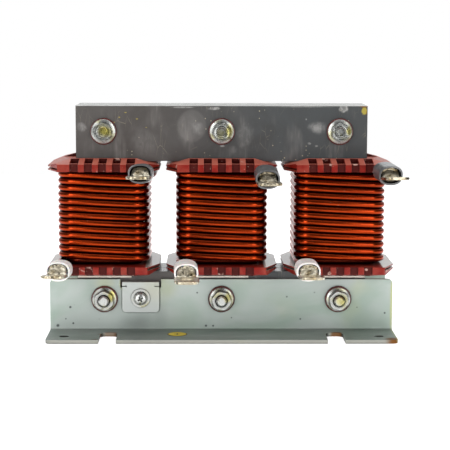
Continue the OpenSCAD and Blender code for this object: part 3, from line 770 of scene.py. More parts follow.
class Shell:
    """Points and faces of a mesh in the making."""

    def __init__(self) -> None:
        """Starts with no points and no faces."""
        self.points: list[Array] = []
        self.faces: list[list[int]] = []
        self.count = 0

    def add(self, points: Array, *faces: Array) -> Shell:
        """Adds points and faces whose numbers start at 0.

        Args:
            points: rows of three coordinates.
            faces: arrays of rows of three or four point numbers.

        Returns:
            The shell itself.
        """
        self.points.append(np.asarray(points, float).reshape(-1, 3))
        for rows in faces:
            self.faces.extend((rows + self.count).tolist())
        self.count += len(self.points[-1])
        return self

    def grid(self, points: Array, wrap_rows: bool = False, wrap_columns: bool = True) -> Shell:
        """Adds a surface given as a grid of points, each four neighbours making one face.

        Args:
            points: array of rows by columns by 3.
            wrap_rows: joins the last row to the first.
            wrap_columns: joins the last column to the first.

        Returns:
            The shell itself.
        """
        rows, columns = points.shape[:2]
        i = np.arange(rows if wrap_rows else rows - 1)[:, None]
        j = np.arange(columns if wrap_columns else columns - 1)[None, :]
        below, beside = (i + 1) % rows, (j + 1) % columns
        quads = np.stack([i * columns + j, i * columns + beside, below * columns + beside,
                          below * columns + j], axis=-1)
        return self.add(points, quads.reshape(-1, 4))

    def tube(self, rings: Array) -> Shell:
        """Adds rings joined into a tube, with a fan of triangles over each end."""
        count = rings.shape[1]
        self.grid(rings)
        rim = np.arange(count)
        fan = np.stack([rim, (rim + 1) % count, np.full(count, count)], axis=-1)
        for ring in (rings[0], rings[-1]):
            self.add(np.vstack([ring, ring.mean(0)]), fan)
        return self

    def slab(self, loops: list[Array], depths: Array, shifts: Array) -> Shell:
        """Adds flat plates cut to one outline with holes, each facing along Y.

        Args:
            loops: the outline and then the holes, each as rows of X and Z.
            depths: rows of the front and rear Y of each plate.
            shifts: rows of the X and Z shift of each plate.

        Returns:
            The shell itself.
        """
        flat = np.vstack(loops)
        caps = np.array(tessellate_polygon([[Vector((x, z, 0.0)) for x, z in loop] for loop in loops]))
        size, start, walls = len(flat), 0, []
        for loop in loops:
            k = np.arange(len(loop))
            ring = start + np.stack([k, (k + 1) % len(loop)], axis=-1)
            walls.append(np.hstack([ring, ring[:, ::-1] + size]))
            start += len(loop)
        for plate, shift in zip(depths, shifts):
            sides = [np.insert(flat + shift, 1, depth, axis=1) for depth in plate]
            self.add(np.vstack(sides), caps, caps + size, *walls)
        return self

    def piece(self, name: str, sharp: float = SHARP_ANGLE, moved: Matrix | None = None) -> Object:
        """Makes the mesh object, its faces turned outwards, smooth but for edges over an angle.

        Args:
            name: the piece's name.
            sharp: angle in degrees over which an edge stays sharp.
            moved: where the mesh goes, applied to its points.

        Returns:
            The object, which stands at the origin.
        """
        mesh = bpy.data.meshes.new(name)
        mesh.from_pydata(np.vstack(self.points), [], self.faces)
        if moved is not None:
            mesh.transform(moved)
        with merged(mesh, MERGE) as work:
            bmesh.ops.recalc_face_normals(work, faces=work.faces)
        smooth(mesh, sharp)
        return linked(name, mesh)


def softened(node: str, name: str, width: float, segments: int = 2) -> Object:
    """Copies a CAD node, joins its flat faces and rounds its edges.

    Args:
        node: the CAD node's name.
        name: the new piece's name.
        width: how far the rounding reaches from an edge.
        segments: faces across the rounding.

    Returns:
        The copy, with live Bevel and Weighted Normal modifiers.
    """
    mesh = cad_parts[node].data.copy()
    mesh.materials.clear()
    with merged(mesh, 2.0 * MERGE) as work:
        bmesh.ops.dissolve_limit(work, angle_limit=math.radians(FLAT_ANGLE), verts=work.verts,
                                 edges=work.edges)
    mesh.shade_smooth()
    made = linked(name, mesh)
    bevel = made.modifiers.new("Rounded edges", "BEVEL")
    bevel.limit_method = "ANGLE"
    bevel.angle_limit = math.radians(EDGE_ANGLE)
    bevel.width = width
    bevel.segments = segments
    bevel.use_clamp_overlap = False
    bevel.miter_outer = "MITER_SHARP"
    made.modifiers.new("Flat faces", "WEIGHTED_NORMAL").keep_sharp = True
    return made


def carved(piece: Object, tool: Object, sharp: float = SHARP_ANGLE) -> Object:
    """Cuts the tool's shape out of the piece and removes the tool.

    Args:
        piece: what is cut.
        tool: the shape that is taken away.
        sharp: angle in degrees over which an edge stays sharp.

    Returns:
        The piece, with its mesh cut.
    """
    cut = piece.modifiers.new("Cut", "BOOLEAN")
    cut.object = tool
    cut.operation = "DIFFERENCE"
    cut.solver = "EXACT"
    graph = bpy.context.evaluated_depsgraph_get()
    mesh = bpy.data.meshes.new_from_object(piece.evaluated_get(graph))
    piece.modifiers.clear()
    old, piece.data = piece.data, mesh
    bpy.data.meshes.remove(old)
    bpy.data.objects.remove(tool)
    smooth(mesh, sharp)
    return piece


# Sub-assemblies


class Box:
    """The box of a CAD node: its corners, middle and size."""

    def __init__(self, node: str) -> None:
        """Reads the box from the frame."""
        self.low, self.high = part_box(node)
        self.middle, self.size = (self.low + self.high) / 2.0, self.high - self.low


@dataclass
class Assembly:
    """What all sub-assemblies share: a cache of finishes and the way a piece joins the frame."""
    materials: dict[str, Material]

    def dress(self, piece: Object, slot: str, name: str, finish: object, *nodes: str) -> None:
        """Gives a piece its finish and hands it to the frame.

        Args:
            piece: a new piece or a CAD node's object.
            slot: the record's material slot; not used.
            name: the finish's name, under which it is made once.
            finish: a finish, whose build method writes a material's graph.
            nodes: the CAD nodes that the piece stands for.
        """
        if name not in self.materials:
            self.materials[name] = finish.build(Surface(name))
        piece.data.materials.clear()
        piece.data.materials.append(self.materials[name])
        if nodes:
            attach(piece, BODY)
            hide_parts(*nodes)
        LOG.info("%s: %d faces, %s", piece.name, len(piece.data.polygons), name)


@dataclass
class Core(Assembly):
    """The E-shaped stack and the yoke bar, as single sheets of core steel, with their boards."""
    sheet: float = 0.5 * MM
    slack: float = 0.04 * MM
    stray: float = 0.07 * MM
    upright: float = 0.3
    margin: float = 0.15 * MM
    bolt_hole: float = 5.15 * MM
    leg_w: float = 41.0 * MM
    seed: int = 11
    rubs: Marks = marks(
        (-103.3, 153.8, 3.2, 2.6, 0.4), (-57.3, 141.0, 7.0, 8.0, 0.16, 0.9),
        (-28.8, 168.4, 8.0, 0.5, 0.6, 0.4), (-6.4, 167.5, 4.4, 1.1, 0.8, 0.3),
        (-23.8, 153.9, 9.6, 9.8, 0.1, 0.2), (-18.6, 153.2, 3.6, 4.0, 0.35, 0.7),
        (16.8, 147.7, 4.8, 8.5, 0.2, 0.5), (0.6, 140.0, 1.8, 0.8, 0.6, 0.3),
        (8.0, 136.6, 2.6, 2.6, 0.16, 0.5), (89.1, 167.6, 3.4, 2.6, 0.95, 0.25),
        (71.1, 153.9, 5.0, 3.0, 0.6, 0.7), (62.1, 159.7, 0.6, 0.6, 0.9, 0.3),
        (64.8, 141.9, 1.1, 0.7, 0.7, 0.4), (70.1, 140.2, 1.1, 0.7, 0.8, 0.4),
        (60.0, 168.9, 24.0, 0.4, 0.5, 0.4))
    runs: Marks = marks(
        (104.9, 166.0, 2.0, 3.0, 0.9, 0.2), (-70.7, 164.5, 0.9, 0.4, 0.7, 0.3),
        (-75.2, 161.0, 0.6, 0.5, 0.7, 0.3), (-62.3, 159.8, 0.8, 0.4, 0.6, 0.3),
        (-79.0, 157.4, 0.5, 0.4, 0.7, 0.3), (-55.6, 153.6, 0.7, 0.3, 0.5, 0.3))
    burns: Marks = marks((104.8, 169.6, 3.0, 1.3, 0.9, 0.15), (106.6, 164.6, 0.6, 1.6, 0.5, 0.3))

    def _holes(self, liners: str) -> list[Array]:
        """The outlines of three bolt holes, where the liners of the clamping bolts run."""
        box = Box(liners)
        reach = (box.size.x - box.size.z) / 2.0
        return [disc((box.middle.x + shift, box.middle.z), self.bolt_hole)
                for shift in (-reach, 0.0, reach)]

    def _outline(self, box: Box, root: float | None) -> Array:
        """The sheet's outline: a bar, or an E on its face with three legs down.

        Args:
            box: the stack's box.
            root: the height from which an E's legs hang, or None for a bar.

        Returns:
            Rows of X and Z, a little inside the box.
        """
        left, right = box.low.x + self.margin, box.high.x - self.margin
        bottom, top = box.low.z + self.margin, box.high.z - self.margin
        if root is None:
            return np.array([(left, bottom), (right, bottom), (right, top), (left, top)])
        leg = self.leg_w - 2.0 * self.margin
        legs = [corner for x in (left, box.middle.x - leg / 2.0, right - leg)
                for corner in ((x, root), (x, bottom), (x + leg, bottom), (x + leg, root))]
        return np.array([*legs[1:-1], (right, top), (left, top)])

    def stack(self, node: str, name: str, liners: str, finish: SheetSteel,
              root: float | None = None) -> None:
        """Builds one stack of sheets, each a hair out of line with its neighbours.

        Args:
            node: the CAD node that it stands for.
            name: the piece's name.
            liners: the liners that run through its holes.
            finish: the look of its steel.
            root: the height from which an E's legs hang.
        """
        box = Box(node)
        count = round(box.size.y / self.sheet)
        front = box.low.y + self.sheet * np.arange(count)
        depths = np.stack([front, front + self.sheet - self.slack], axis=-1)
        draw = np.random.default_rng(self.seed + len(node))
        shifts = draw.normal(0.0, self.stray, (count, 2))
        shifts = np.clip(shifts, -self.margin, self.margin) * (1.0, self.upright)
        shell = Shell().slab([self._outline(box, root), *self._holes(liners)], depths, shifts)
        self.dress(shell.piece(name, 25.0), "core_steel", f"{name} steel", finish, node)

    def build(self) -> None:
        """Builds both stacks, the gap boards and the leg boards."""
        root = Box("e_core").high.z - Box("yoke_bar").size.z
        self.stack("e_core", "core_sheets", "upper_bolt_liners",
                   SheetSteel(rubs=self.rubs, runs=self.runs, burns=self.burns), root)
        self.stack("yoke_bar", "yoke_bar_sheets", "lower_bolt_liners", SheetSteel(level=0.5))
        for boards, name, width in (("gap_boards", "gap_board_set", 0.15 * MM),
                                    ("front_leg_boards", "front_leg_board_set", 0.25 * MM),
                                    ("rear_leg_boards", "rear_leg_board_set", 0.25 * MM)):
            self.dress(softened(boards, name, width), *BOARD, boards)


@dataclass
class Coil(Assembly):
    """One phase: bobbin, inner layers, outer layer of round wire, lugs and sleeves."""
    phase: Phase
    wire: float = 4.82 * MM
    loops: int = 13
    half_w: float = 31.4 * MM
    half_d: float = 31.65 * MM
    corner: float = 9.65 * MM
    end_gap: float = 2.65 * MM
    lead_step: float = 5.2 * MM
    bow_front: float = 1.3 * MM
    bow_side: float = 0.15 * MM
    waver_side: float = 0.25 * MM
    waver_up: float = 0.06 * MM
    waver_from: tuple[float, float] = (24.0, 32.0)
    sides: int = 14
    rings: int = 9
    edge: float = -41.3 * MM
    scallop: float = 0.9 * MM
    inner_wall: float = 4.4 * MM
    seed: int = 40

    def __post_init__(self) -> None:
        """Works out the winding's heights from the flanges' boxes."""
        self.word = self.phase.word
        top = Box(f"{self.word}_top_flange")
        self.middle = top.middle.x
        self.roof, self.floor = top.low.z, Box(f"{self.word}_bottom_flange").high.z
        self.first, self.last = self.roof - self.end_gap, self.floor + self.end_gap
        self.pitch = (self.first - self.last) / self.loops

    def _loop_path(self) -> Array:
        """The loops and the last half turn: corners as arcs and sides as slightly bowed lines.

        The wire drops by one pitch along the front, the right front corner and the right side. On a
        side it stands out by bow * (1 - t^2), with t from -1 to 1 along it.

        Returns:
            Rows of X, Y and Z about the middle of the leg.
        """
        inner_w, inner_d = self.half_w - self.corner, self.half_d - self.corner
        centres = np.array([(inner_w, inner_d), (-inner_w, inner_d), (-inner_w, -inner_d),
                            (inner_w, -inner_d)])
        along = np.cumsum([2.0 * inner_w, self.corner * np.pi / 2.0, 2.0 * inner_d])
        front, bend, side = along / along[-1]
        level, corner_falls = (0.0, 0.0), {3: (front, bend)}
        side_falls = {2: (0.0, front), 3: (bend, side)}
        arc = np.linspace(0.0, 1.0, self.rings)
        line = np.linspace(0.0, 1.0, self.rings + 2)[1:-1]

        def heights(turn: int, fall: tuple[float, float], t: Array) -> Array:
            """The wire's heights while it falls from one share of a pitch to another."""
            return self.first - self.pitch * (turn + fall[0] + (fall[1] - fall[0]) * t)

        legs = []
        for turn, number in (divmod(station, 4) for station in range(4 * self.loops + 2)):
            angle = np.pi / 2.0 * (number + arc)
            radius = self.corner + (self.lead_step * (1.0 - arc) if turn == number == 0 else 0.0 * arc)
            here, there = centres[number], centres[(number + 1) % 4]
            legs.append(np.column_stack([
                here[0] + radius * np.cos(angle), here[1] + radius * np.sin(angle),
                heights(turn, corner_falls.get(number, level), arc)]))
            out = np.array([math.cos(angle[-1]), math.sin(angle[-1])])
            bow = self.bow_front if number in (0, 2) else self.bow_side
            bow = bow * (1.0 - (2.0 * line - 1.0) ** 2)
            flat = here + (there - here) * line[:, None] + out * (self.corner + bow)[:, None]
            legs.append(np.column_stack([flat, heights(turn, side_falls.get(number, level), line)]))
        return np.vstack(legs[:-1])

    def _lead(self, lug: LugPlace, start: Array, count: int = 11) -> Array:
        """Two Bezier curves: from a lug's barrel to the flange's front edge, and on to the coil's side.

        Args:
            lug: where the lug stands.
            start: the point of the side, where the wire runs straight back.
            count: points on each curve.

        Returns:
            Rows from the lug to the side.
        """
        t = np.linspace(0.0, 1.0, count)[:, None]
        edge = np.array([(lug.x + start[0]) / 2.0, self.edge, start[2]])
        ahead = unit(start - edge)
        back = np.array([0.0, 8.0 * MM, 0.0])

        def curve(*ends: Array) -> Array:
            """Points of one cubic Bezier curve through its four points."""
            weights = ((1 - t) ** 3, 3 * (1 - t) ** 2 * t, 3 * (1 - t) * t ** 2, t ** 3)
            return sum(weight * end for weight, end in zip(weights, ends))

        first = curve(lug.point((0.0, -3.0 * MM, 0.0)), lug.point((0.0, 6.0 * MM, 0.0)),
                      edge - 2.5 * MM * ahead, edge)
        return np.vstack([first[:-1], curve(edge, edge + 5.0 * MM * ahead, start - back, start)])

    def winding(self, upper: LugPlace, lower: LugPlace) -> None:
        """Sweeps the round wire along its whole path, with a small seeded waver."""
        path = self._loop_path() + (self.middle, 0.0, 0.0)
        edge = -(self.half_d - self.corner)
        entry = np.array([self.middle + self.half_w + self.lead_step, edge, self.first])
        leave = np.array([self.middle - self.half_w, edge, self.last])
        between = np.linspace(0.15, 0.85, 6)[:, None]
        path = np.vstack([self._lead(upper, entry), entry + (path[0] - entry) * between, path,
                          path[-1] + (leave - path[-1]) * between, self._lead(lower, leave)[::-1]])
        draw = np.random.default_rng(self.seed + self.phase.value)
        s = np.arange(len(path), dtype=float)
        waves = draw.uniform(0.05, 0.35, (2, 5))
        phases = draw.uniform(0.0, 2.0 * np.pi, (2, 5))
        waver = np.sin(s[:, None, None] * waves + phases).mean(-1)
        waver = waver * ramp(np.minimum(s, s[::-1]), *self.waver_from)[:, None]
        ahead = unit(np.gradient(path, axis=0))
        side = unit(np.cross(ahead, (0.0, 0.0, 1.0)))
        up = np.cross(side, ahead)
        path = path + side * self.waver_side * waver[:, :1] + up * self.waver_up * waver[:, 1:]
        turn = circle(self.sides)[None, :, None]
        ring = np.cos(turn) * side[:, None, :] + np.sin(turn) * up[:, None, :]
        shell = Shell().tube(path[:, None, :] + self.wire / 2.0 * ring)
        self.dress(shell.piece(f"{self.word}_wire", 60.0), "enamelled_copper",
                   f"{self.word} enamelled copper", EnamelledCopper(), f"{self.word}_winding")

    def inner_layers(self) -> None:
        """Builds the layers under the outer one, as a sleeve scalloped at the wire's pitch, in a darker
        copy of the copper that paints the shade between turns.
        """
        box = Box(f"{self.word}_inner_winding")
        rows = np.linspace(0.0, 1.0, self.loops * 10 + 1)
        wave = self.scallop * (np.abs(np.sin(np.pi * self.loops * rows)) - 1.0) - 0.05 * MM
        inset = np.concatenate([wave, [-self.inner_wall] * 2])
        z = box.low.z + box.size.z * np.concatenate([rows, [1.0, 0.0]])
        x, y = superellipse(box.size.x / 2.0 + inset, box.size.y / 2.0 + inset,
                            np.full(len(z), 6.0), 72)
        rings = np.stack(np.broadcast_arrays(self.middle + x, y, z[:, None]), axis=-1)
        # A darker copy of the copper: painted shade, as these layers show only in the gaps between
        # turns.
        self.dress(Shell().grid(rings, wrap_rows=True).piece(f"{self.word}_inner_layers"),
                   "enamelled_copper", "inner enamelled copper",
                   EnamelledCopper(srgb(120, 44, 24), srgb(60, 16, 10)), f"{self.word}_inner_winding")

    def build(self) -> None:
        """Builds the whole phase."""
        resin = ("bobbin_resin", f"{self.word} varnished resin", VarnishedResin(middle=self.middle))
        for node in (f"{self.word}_top_flange", f"{self.word}_bottom_flange"):
            self.dress(softened(node, f"{node}_moulding", 0.3 * MM), *resin, node)
        self.dress(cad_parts[f"{self.word}_tube"], *resin)
        places = {row: LugPlace.of(self, row) for row in Row}
        self.winding(places[Row.UPPER], places[Row.LOWER])
        self.inner_layers()
        for row, place in places.items():
            Terminal(self.materials, place, self.phase, row).build()


@dataclass(frozen=True)
class LugPlace:
    """Where a lug stands: the rear end of its barrel, its turn to the right, its tilt and its bend."""
    x: float
    y: float
    z: float
    yaw: float
    pitch: float
    bend: float

    @classmethod
    def of(cls, coil: Coil, row: Row) -> LugPlace:
        """The place of one lug of a coil, from a table of side, rise, yaw, pitch and bend by phase."""
        base, table = {
            Row.UPPER: (coil.roof, ((29.7, 0.4, -2.0, 4.0, 0.0), (31.5, 0.0, 2.0, -6.5, 8.0),
                                    (29.7, 2.0, 7.0, -4.0, 9.0))),
            Row.LOWER: (coil.floor, ((-29.5, 0.5, -3.0, 2.0, 4.0), (-26.2, 1.0, 2.0, -4.0, 3.5),
                                     (-25.9, 1.6, 3.0, -3.0, 7.5))),
        }[row]
        side, rise, *angles = table[coil.phase.value]
        return cls(coil.middle + side * MM, -51.0 * MM, base + rise * MM, *angles)

    def matrix(self) -> Matrix:
        """The turn and place as a matrix."""
        return (Matrix.Translation((self.x, self.y, self.z))
                @ Matrix.Rotation(math.radians(self.yaw), 4, "Z")
                @ Matrix.Rotation(math.radians(-self.pitch), 4, "X"))

    def point(self, local: Triple) -> Array:
        """A point of the lug's own frame, in the shared frame."""
        return np.array(self.matrix() @ Vector(local))


@dataclass
class Terminal(Assembly):
    """One crimped ring lug with its heat-shrink sleeve; black sleeves above, milky ones below."""
    place: LugPlace
    phase: Phase
    row: Row
    barrel_w: float = 14.4 * MM
    barrel_h: float = 11.6 * MM
    barrel_l: float = 17.0 * MM
    neck_l: float = 5.0 * MM
    palm_w: float = 17.4 * MM
    palm_l: float = 21.0 * MM
    palm_t: float = 2.0 * MM
    palm_lift: float = 2.4 * MM
    palm_corner: float = 4.9 * MM
    waist: float = 12.6 * MM
    hole_r: float = 4.2 * MM
    sleeve_w: float = 17.4 * MM
    sleeve_h: float = 14.0 * MM
    sleeve_back: float = 5.0 * MM
    squareness: float = 2.35
    grip_w: float = 2.6 * MM
    grip_h: float = 2.0 * MM
    wall: float = 1.3 * MM
    fold_depth: float = 0.3 * MM
    jaw_depth: float = 1.0 * MM
    jaw_apart: float = 3.4 * MM
    dimple_depth: float = 0.5 * MM
    dish_depth: float = 1.3 * MM
    least_t: float = 0.6 * MM
    drill_over: float = 2.0 * MM
    shrink: float = 0.012
    fold_seeds: tuple[int, int] = (70, 75)
    sleeve_seeds: tuple[int, int] = (90, 91)

    def __post_init__(self) -> None:
        """Looks up what depends on the row: the upper sleeves reach past the barrel."""
        self.name = f"{self.phase.word}_{self.row.value}"
        upper = self.row is Row.UPPER
        self.sleeve_front, self.kind, self.slot = (
            (20.0 * MM, Sleeving.BLACK, "black_sleeve") if upper
            else (15.8 * MM, Sleeving.MILKY, "white_sleeve"))
        self.fold_seed = self.fold_seeds[not upper] + self.phase.value
        self.sleeve_seed = self.sleeve_seeds[not upper] + self.phase.value * 2

    def bent(self) -> Matrix:
        """The palm's upward bend about the underside of the barrel's front end."""
        pivot = Vector((0.0, -self.barrel_l, -self.barrel_h / 2.0))
        turn = Matrix.Rotation(math.radians(-self.place.bend), 4, "X")
        return Matrix.Translation(pivot) @ turn @ Matrix.Translation(-pivot)

    def lug(self) -> None:
        """Lofts barrel, neck and palm, then drills the stud hole.

        Along the lug the half width, half height, centre and squareness of a section blend by an eased
        step from barrel to palm. The palm's end follows a quarter circle at each corner.
        """
        neck_end = self.barrel_l + self.neck_l
        length = neck_end + self.palm_l
        s = np.concatenate([
            np.linspace(0.0, self.barrel_l - 4.0 * MM, 10),
            np.linspace(self.barrel_l - 4.0 * MM, neck_end + 2.0 * MM, 34)[1:],
            np.linspace(neck_end + 2.0 * MM, length - self.palm_corner, 10)[1:],
            length - self.palm_corner * (1.0 - np.sin(np.linspace(0.0, np.pi / 2.0, 12)[1:]))])
        past = s - self.barrel_l
        flat = ramp(past, -1.0 * MM, self.neck_l)
        widen = ramp(past, 0.0, self.neck_l + 4.0 * MM)
        waist = ramp(past, -4.0 * MM, 0.0) * (self.barrel_w - self.waist)
        half_w = (self.barrel_w - waist + (self.palm_w - self.waist) * widen) / 2.0
        half_h = (self.barrel_h + (self.palm_t - self.barrel_h) * flat) / 2.0
        centre = (self.palm_lift - (self.barrel_h - self.palm_t) / 2.0) * flat
        into = np.clip(s - (length - self.palm_corner), 0.0, self.palm_corner)
        half_w -= self.palm_corner - np.sqrt(np.maximum(self.palm_corner ** 2 - into ** 2, 0.0))
        power = 2.6 + 9.0 * ramp(s - neck_end, -1.0 * MM, 2.0 * MM)
        x, z = superellipse(half_w, half_h, power, 72)
        bend = math.radians(self.place.bend) * ramp(past, -0.5 * MM, 1.0 * MM)
        c, d = np.cos(bend)[:, None], np.sin(bend)[:, None]
        y = -past[:, None]
        z = z - self._folds(s, x, z, half_h) + centre[:, None] + self.barrel_h / 2.0
        rings = np.stack([x, y * c + z * d - self.barrel_l,
                          z * c - y * d - self.barrel_h / 2.0], axis=-1)
        body = Shell().tube(rings).piece(f"{self.name}_lug_tinned", 42.0)
        hole = disc((0.0, -(neck_end + self.palm_l / 2.0)), self.hole_r, 40)
        under = self.palm_lift - self.barrel_h / 2.0
        ends = (under - self.drill_over, under + self.palm_t + self.drill_over)
        drill = np.stack([np.insert(hole, 2, height, axis=1) for height in ends])
        carved(body, Shell().tube(drill).piece("stud hole", moved=self.bent()), 42.0)
        body.data.transform(self.place.matrix())
        self.dress(body, "tinned_copper", "tinned copper", TinnedCopper(), f"{self.name}_lug")

    def _folds(self, s: Array, x: Array, z: Array, half_h: Array) -> Array:
        """How far the crimp presses the tin down: folds over the neck, two jaw marks and a dimple.

        Args:
            s: distance along the lug of each section.
            x: sideways place of each point.
            z: height of each point over its section's middle.
            half_h: half height of each section.

        Returns:
            Depths, one for each point; only the upper side is pressed.
        """
        draw = np.random.default_rng(self.fold_seed)
        k, start = draw.uniform(0.8, 1.6, 4) / MM, draw.uniform(0.0, 6.0, 4)
        far = s[:, None]
        past = far - self.barrel_l
        neck = ramp(past, -3.0 * MM, -1.0 * MM) * ramp(past, self.neck_l + 2.5 * MM, self.neck_l)
        ripple = (np.sin(k[0] * far + 0.9 * x / MM + start[0]) + np.sin(k[1] * x + start[1])
                  * np.sin(k[2] * far + start[2]) + 0.6 * np.abs(np.sin(1.7 * k[3] * x + start[3])))
        jaws = sum(np.exp(-((x + shift) / (1.3 * MM)) ** 2)
                   for shift in (self.jaw_apart, -self.jaw_apart))
        jaws = jaws * np.exp(-((past - 0.4 * MM) / (0.9 * MM)) ** 2)
        dimple = ramp(np.abs(x), 2.6 * MM, 1.8 * MM) * ramp(np.abs(past - 3.6 * MM), 1.3 * MM, 0.7 * MM)
        dish = np.exp(-((far - 0.5 * self.barrel_l) / (3.0 * MM)) ** 2) * np.exp(-(x / (4.2 * MM)) ** 2)
        upper = np.clip(z / np.maximum(half_h[:, None], 1e-6), 0.0, 1.0)
        depth = (self.fold_depth * neck * (1.2 + ripple) + self.jaw_depth * jaws
                 + self.dimple_depth * dimple + self.dish_depth * dish) * upper
        return np.minimum(depth, np.maximum(z + half_h[:, None] - self.least_t, 0.0))

    def sleeve(self) -> None:
        """Lofts the sleeve as one closed wall, drawn in at the rear where it grips the wire.

        Outside it follows a section between oval and rectangle with shallow shrink waves, turns over a
        rounded lip at each end, and runs back inside a wall's thickness deeper.
        """
        y = np.linspace(-self.sleeve_front, self.sleeve_back, 30)
        rear = ramp(y, self.sleeve_back - 6.0 * MM, self.sleeve_back)
        draw = np.random.default_rng(self.sleeve_seed)
        waves, shift = draw.uniform(0.4, 1.1, 3) / MM, draw.uniform(0.0, 6.0, 3)
        turn = circle(52)
        waver = sum(np.sin(w * y[:, None] + n * turn[None, :] + q)
                    for w, n, q in zip(waves, (1, 2, 3), shift)) / 3.0
        lip = 0.35 * self.wall
        outer = self._skin(0.0, rear) * (1.0 - self.shrink * (1.0 + waver))[..., None]
        sections = np.concatenate([self._skin(lip, rear[:1]), outer, self._skin(lip, rear[-1:]),
                                   self._skin(self.wall, rear)[::-1]])
        depth = np.concatenate([[-self.sleeve_front], y * (1.0 - 0.3 * lip / self.sleeve_front),
                                [self.sleeve_back], y[::-1]])
        rings = np.insert(sections, 1, np.broadcast_to(depth[:, None], sections.shape[:2]), axis=2)
        shell = Shell().grid(rings, wrap_rows=True)
        self.dress(shell.piece(f"{self.name}_sleeve_shrunk", 50.0, self.place.matrix()), self.slot,
                   f"{self.kind.name.lower()} sleeve", HeatShrink(self.kind), f"{self.name}_sleeve")

    def _skin(self, inset: float, rear: Array) -> Array:
        """Sections of the sleeve, set in all round and drawn in by their share at the rear."""
        half_w = self.sleeve_w / 2.0 - inset - self.grip_w * rear
        half_h = self.sleeve_h / 2.0 - inset - self.grip_h * rear
        return np.stack(superellipse(half_w, half_h, np.full(len(rear), self.squareness), 52), axis=-1)

    def build(self) -> None:
        """Builds the lug and its sleeve."""
        self.lug()
        self.sleeve()


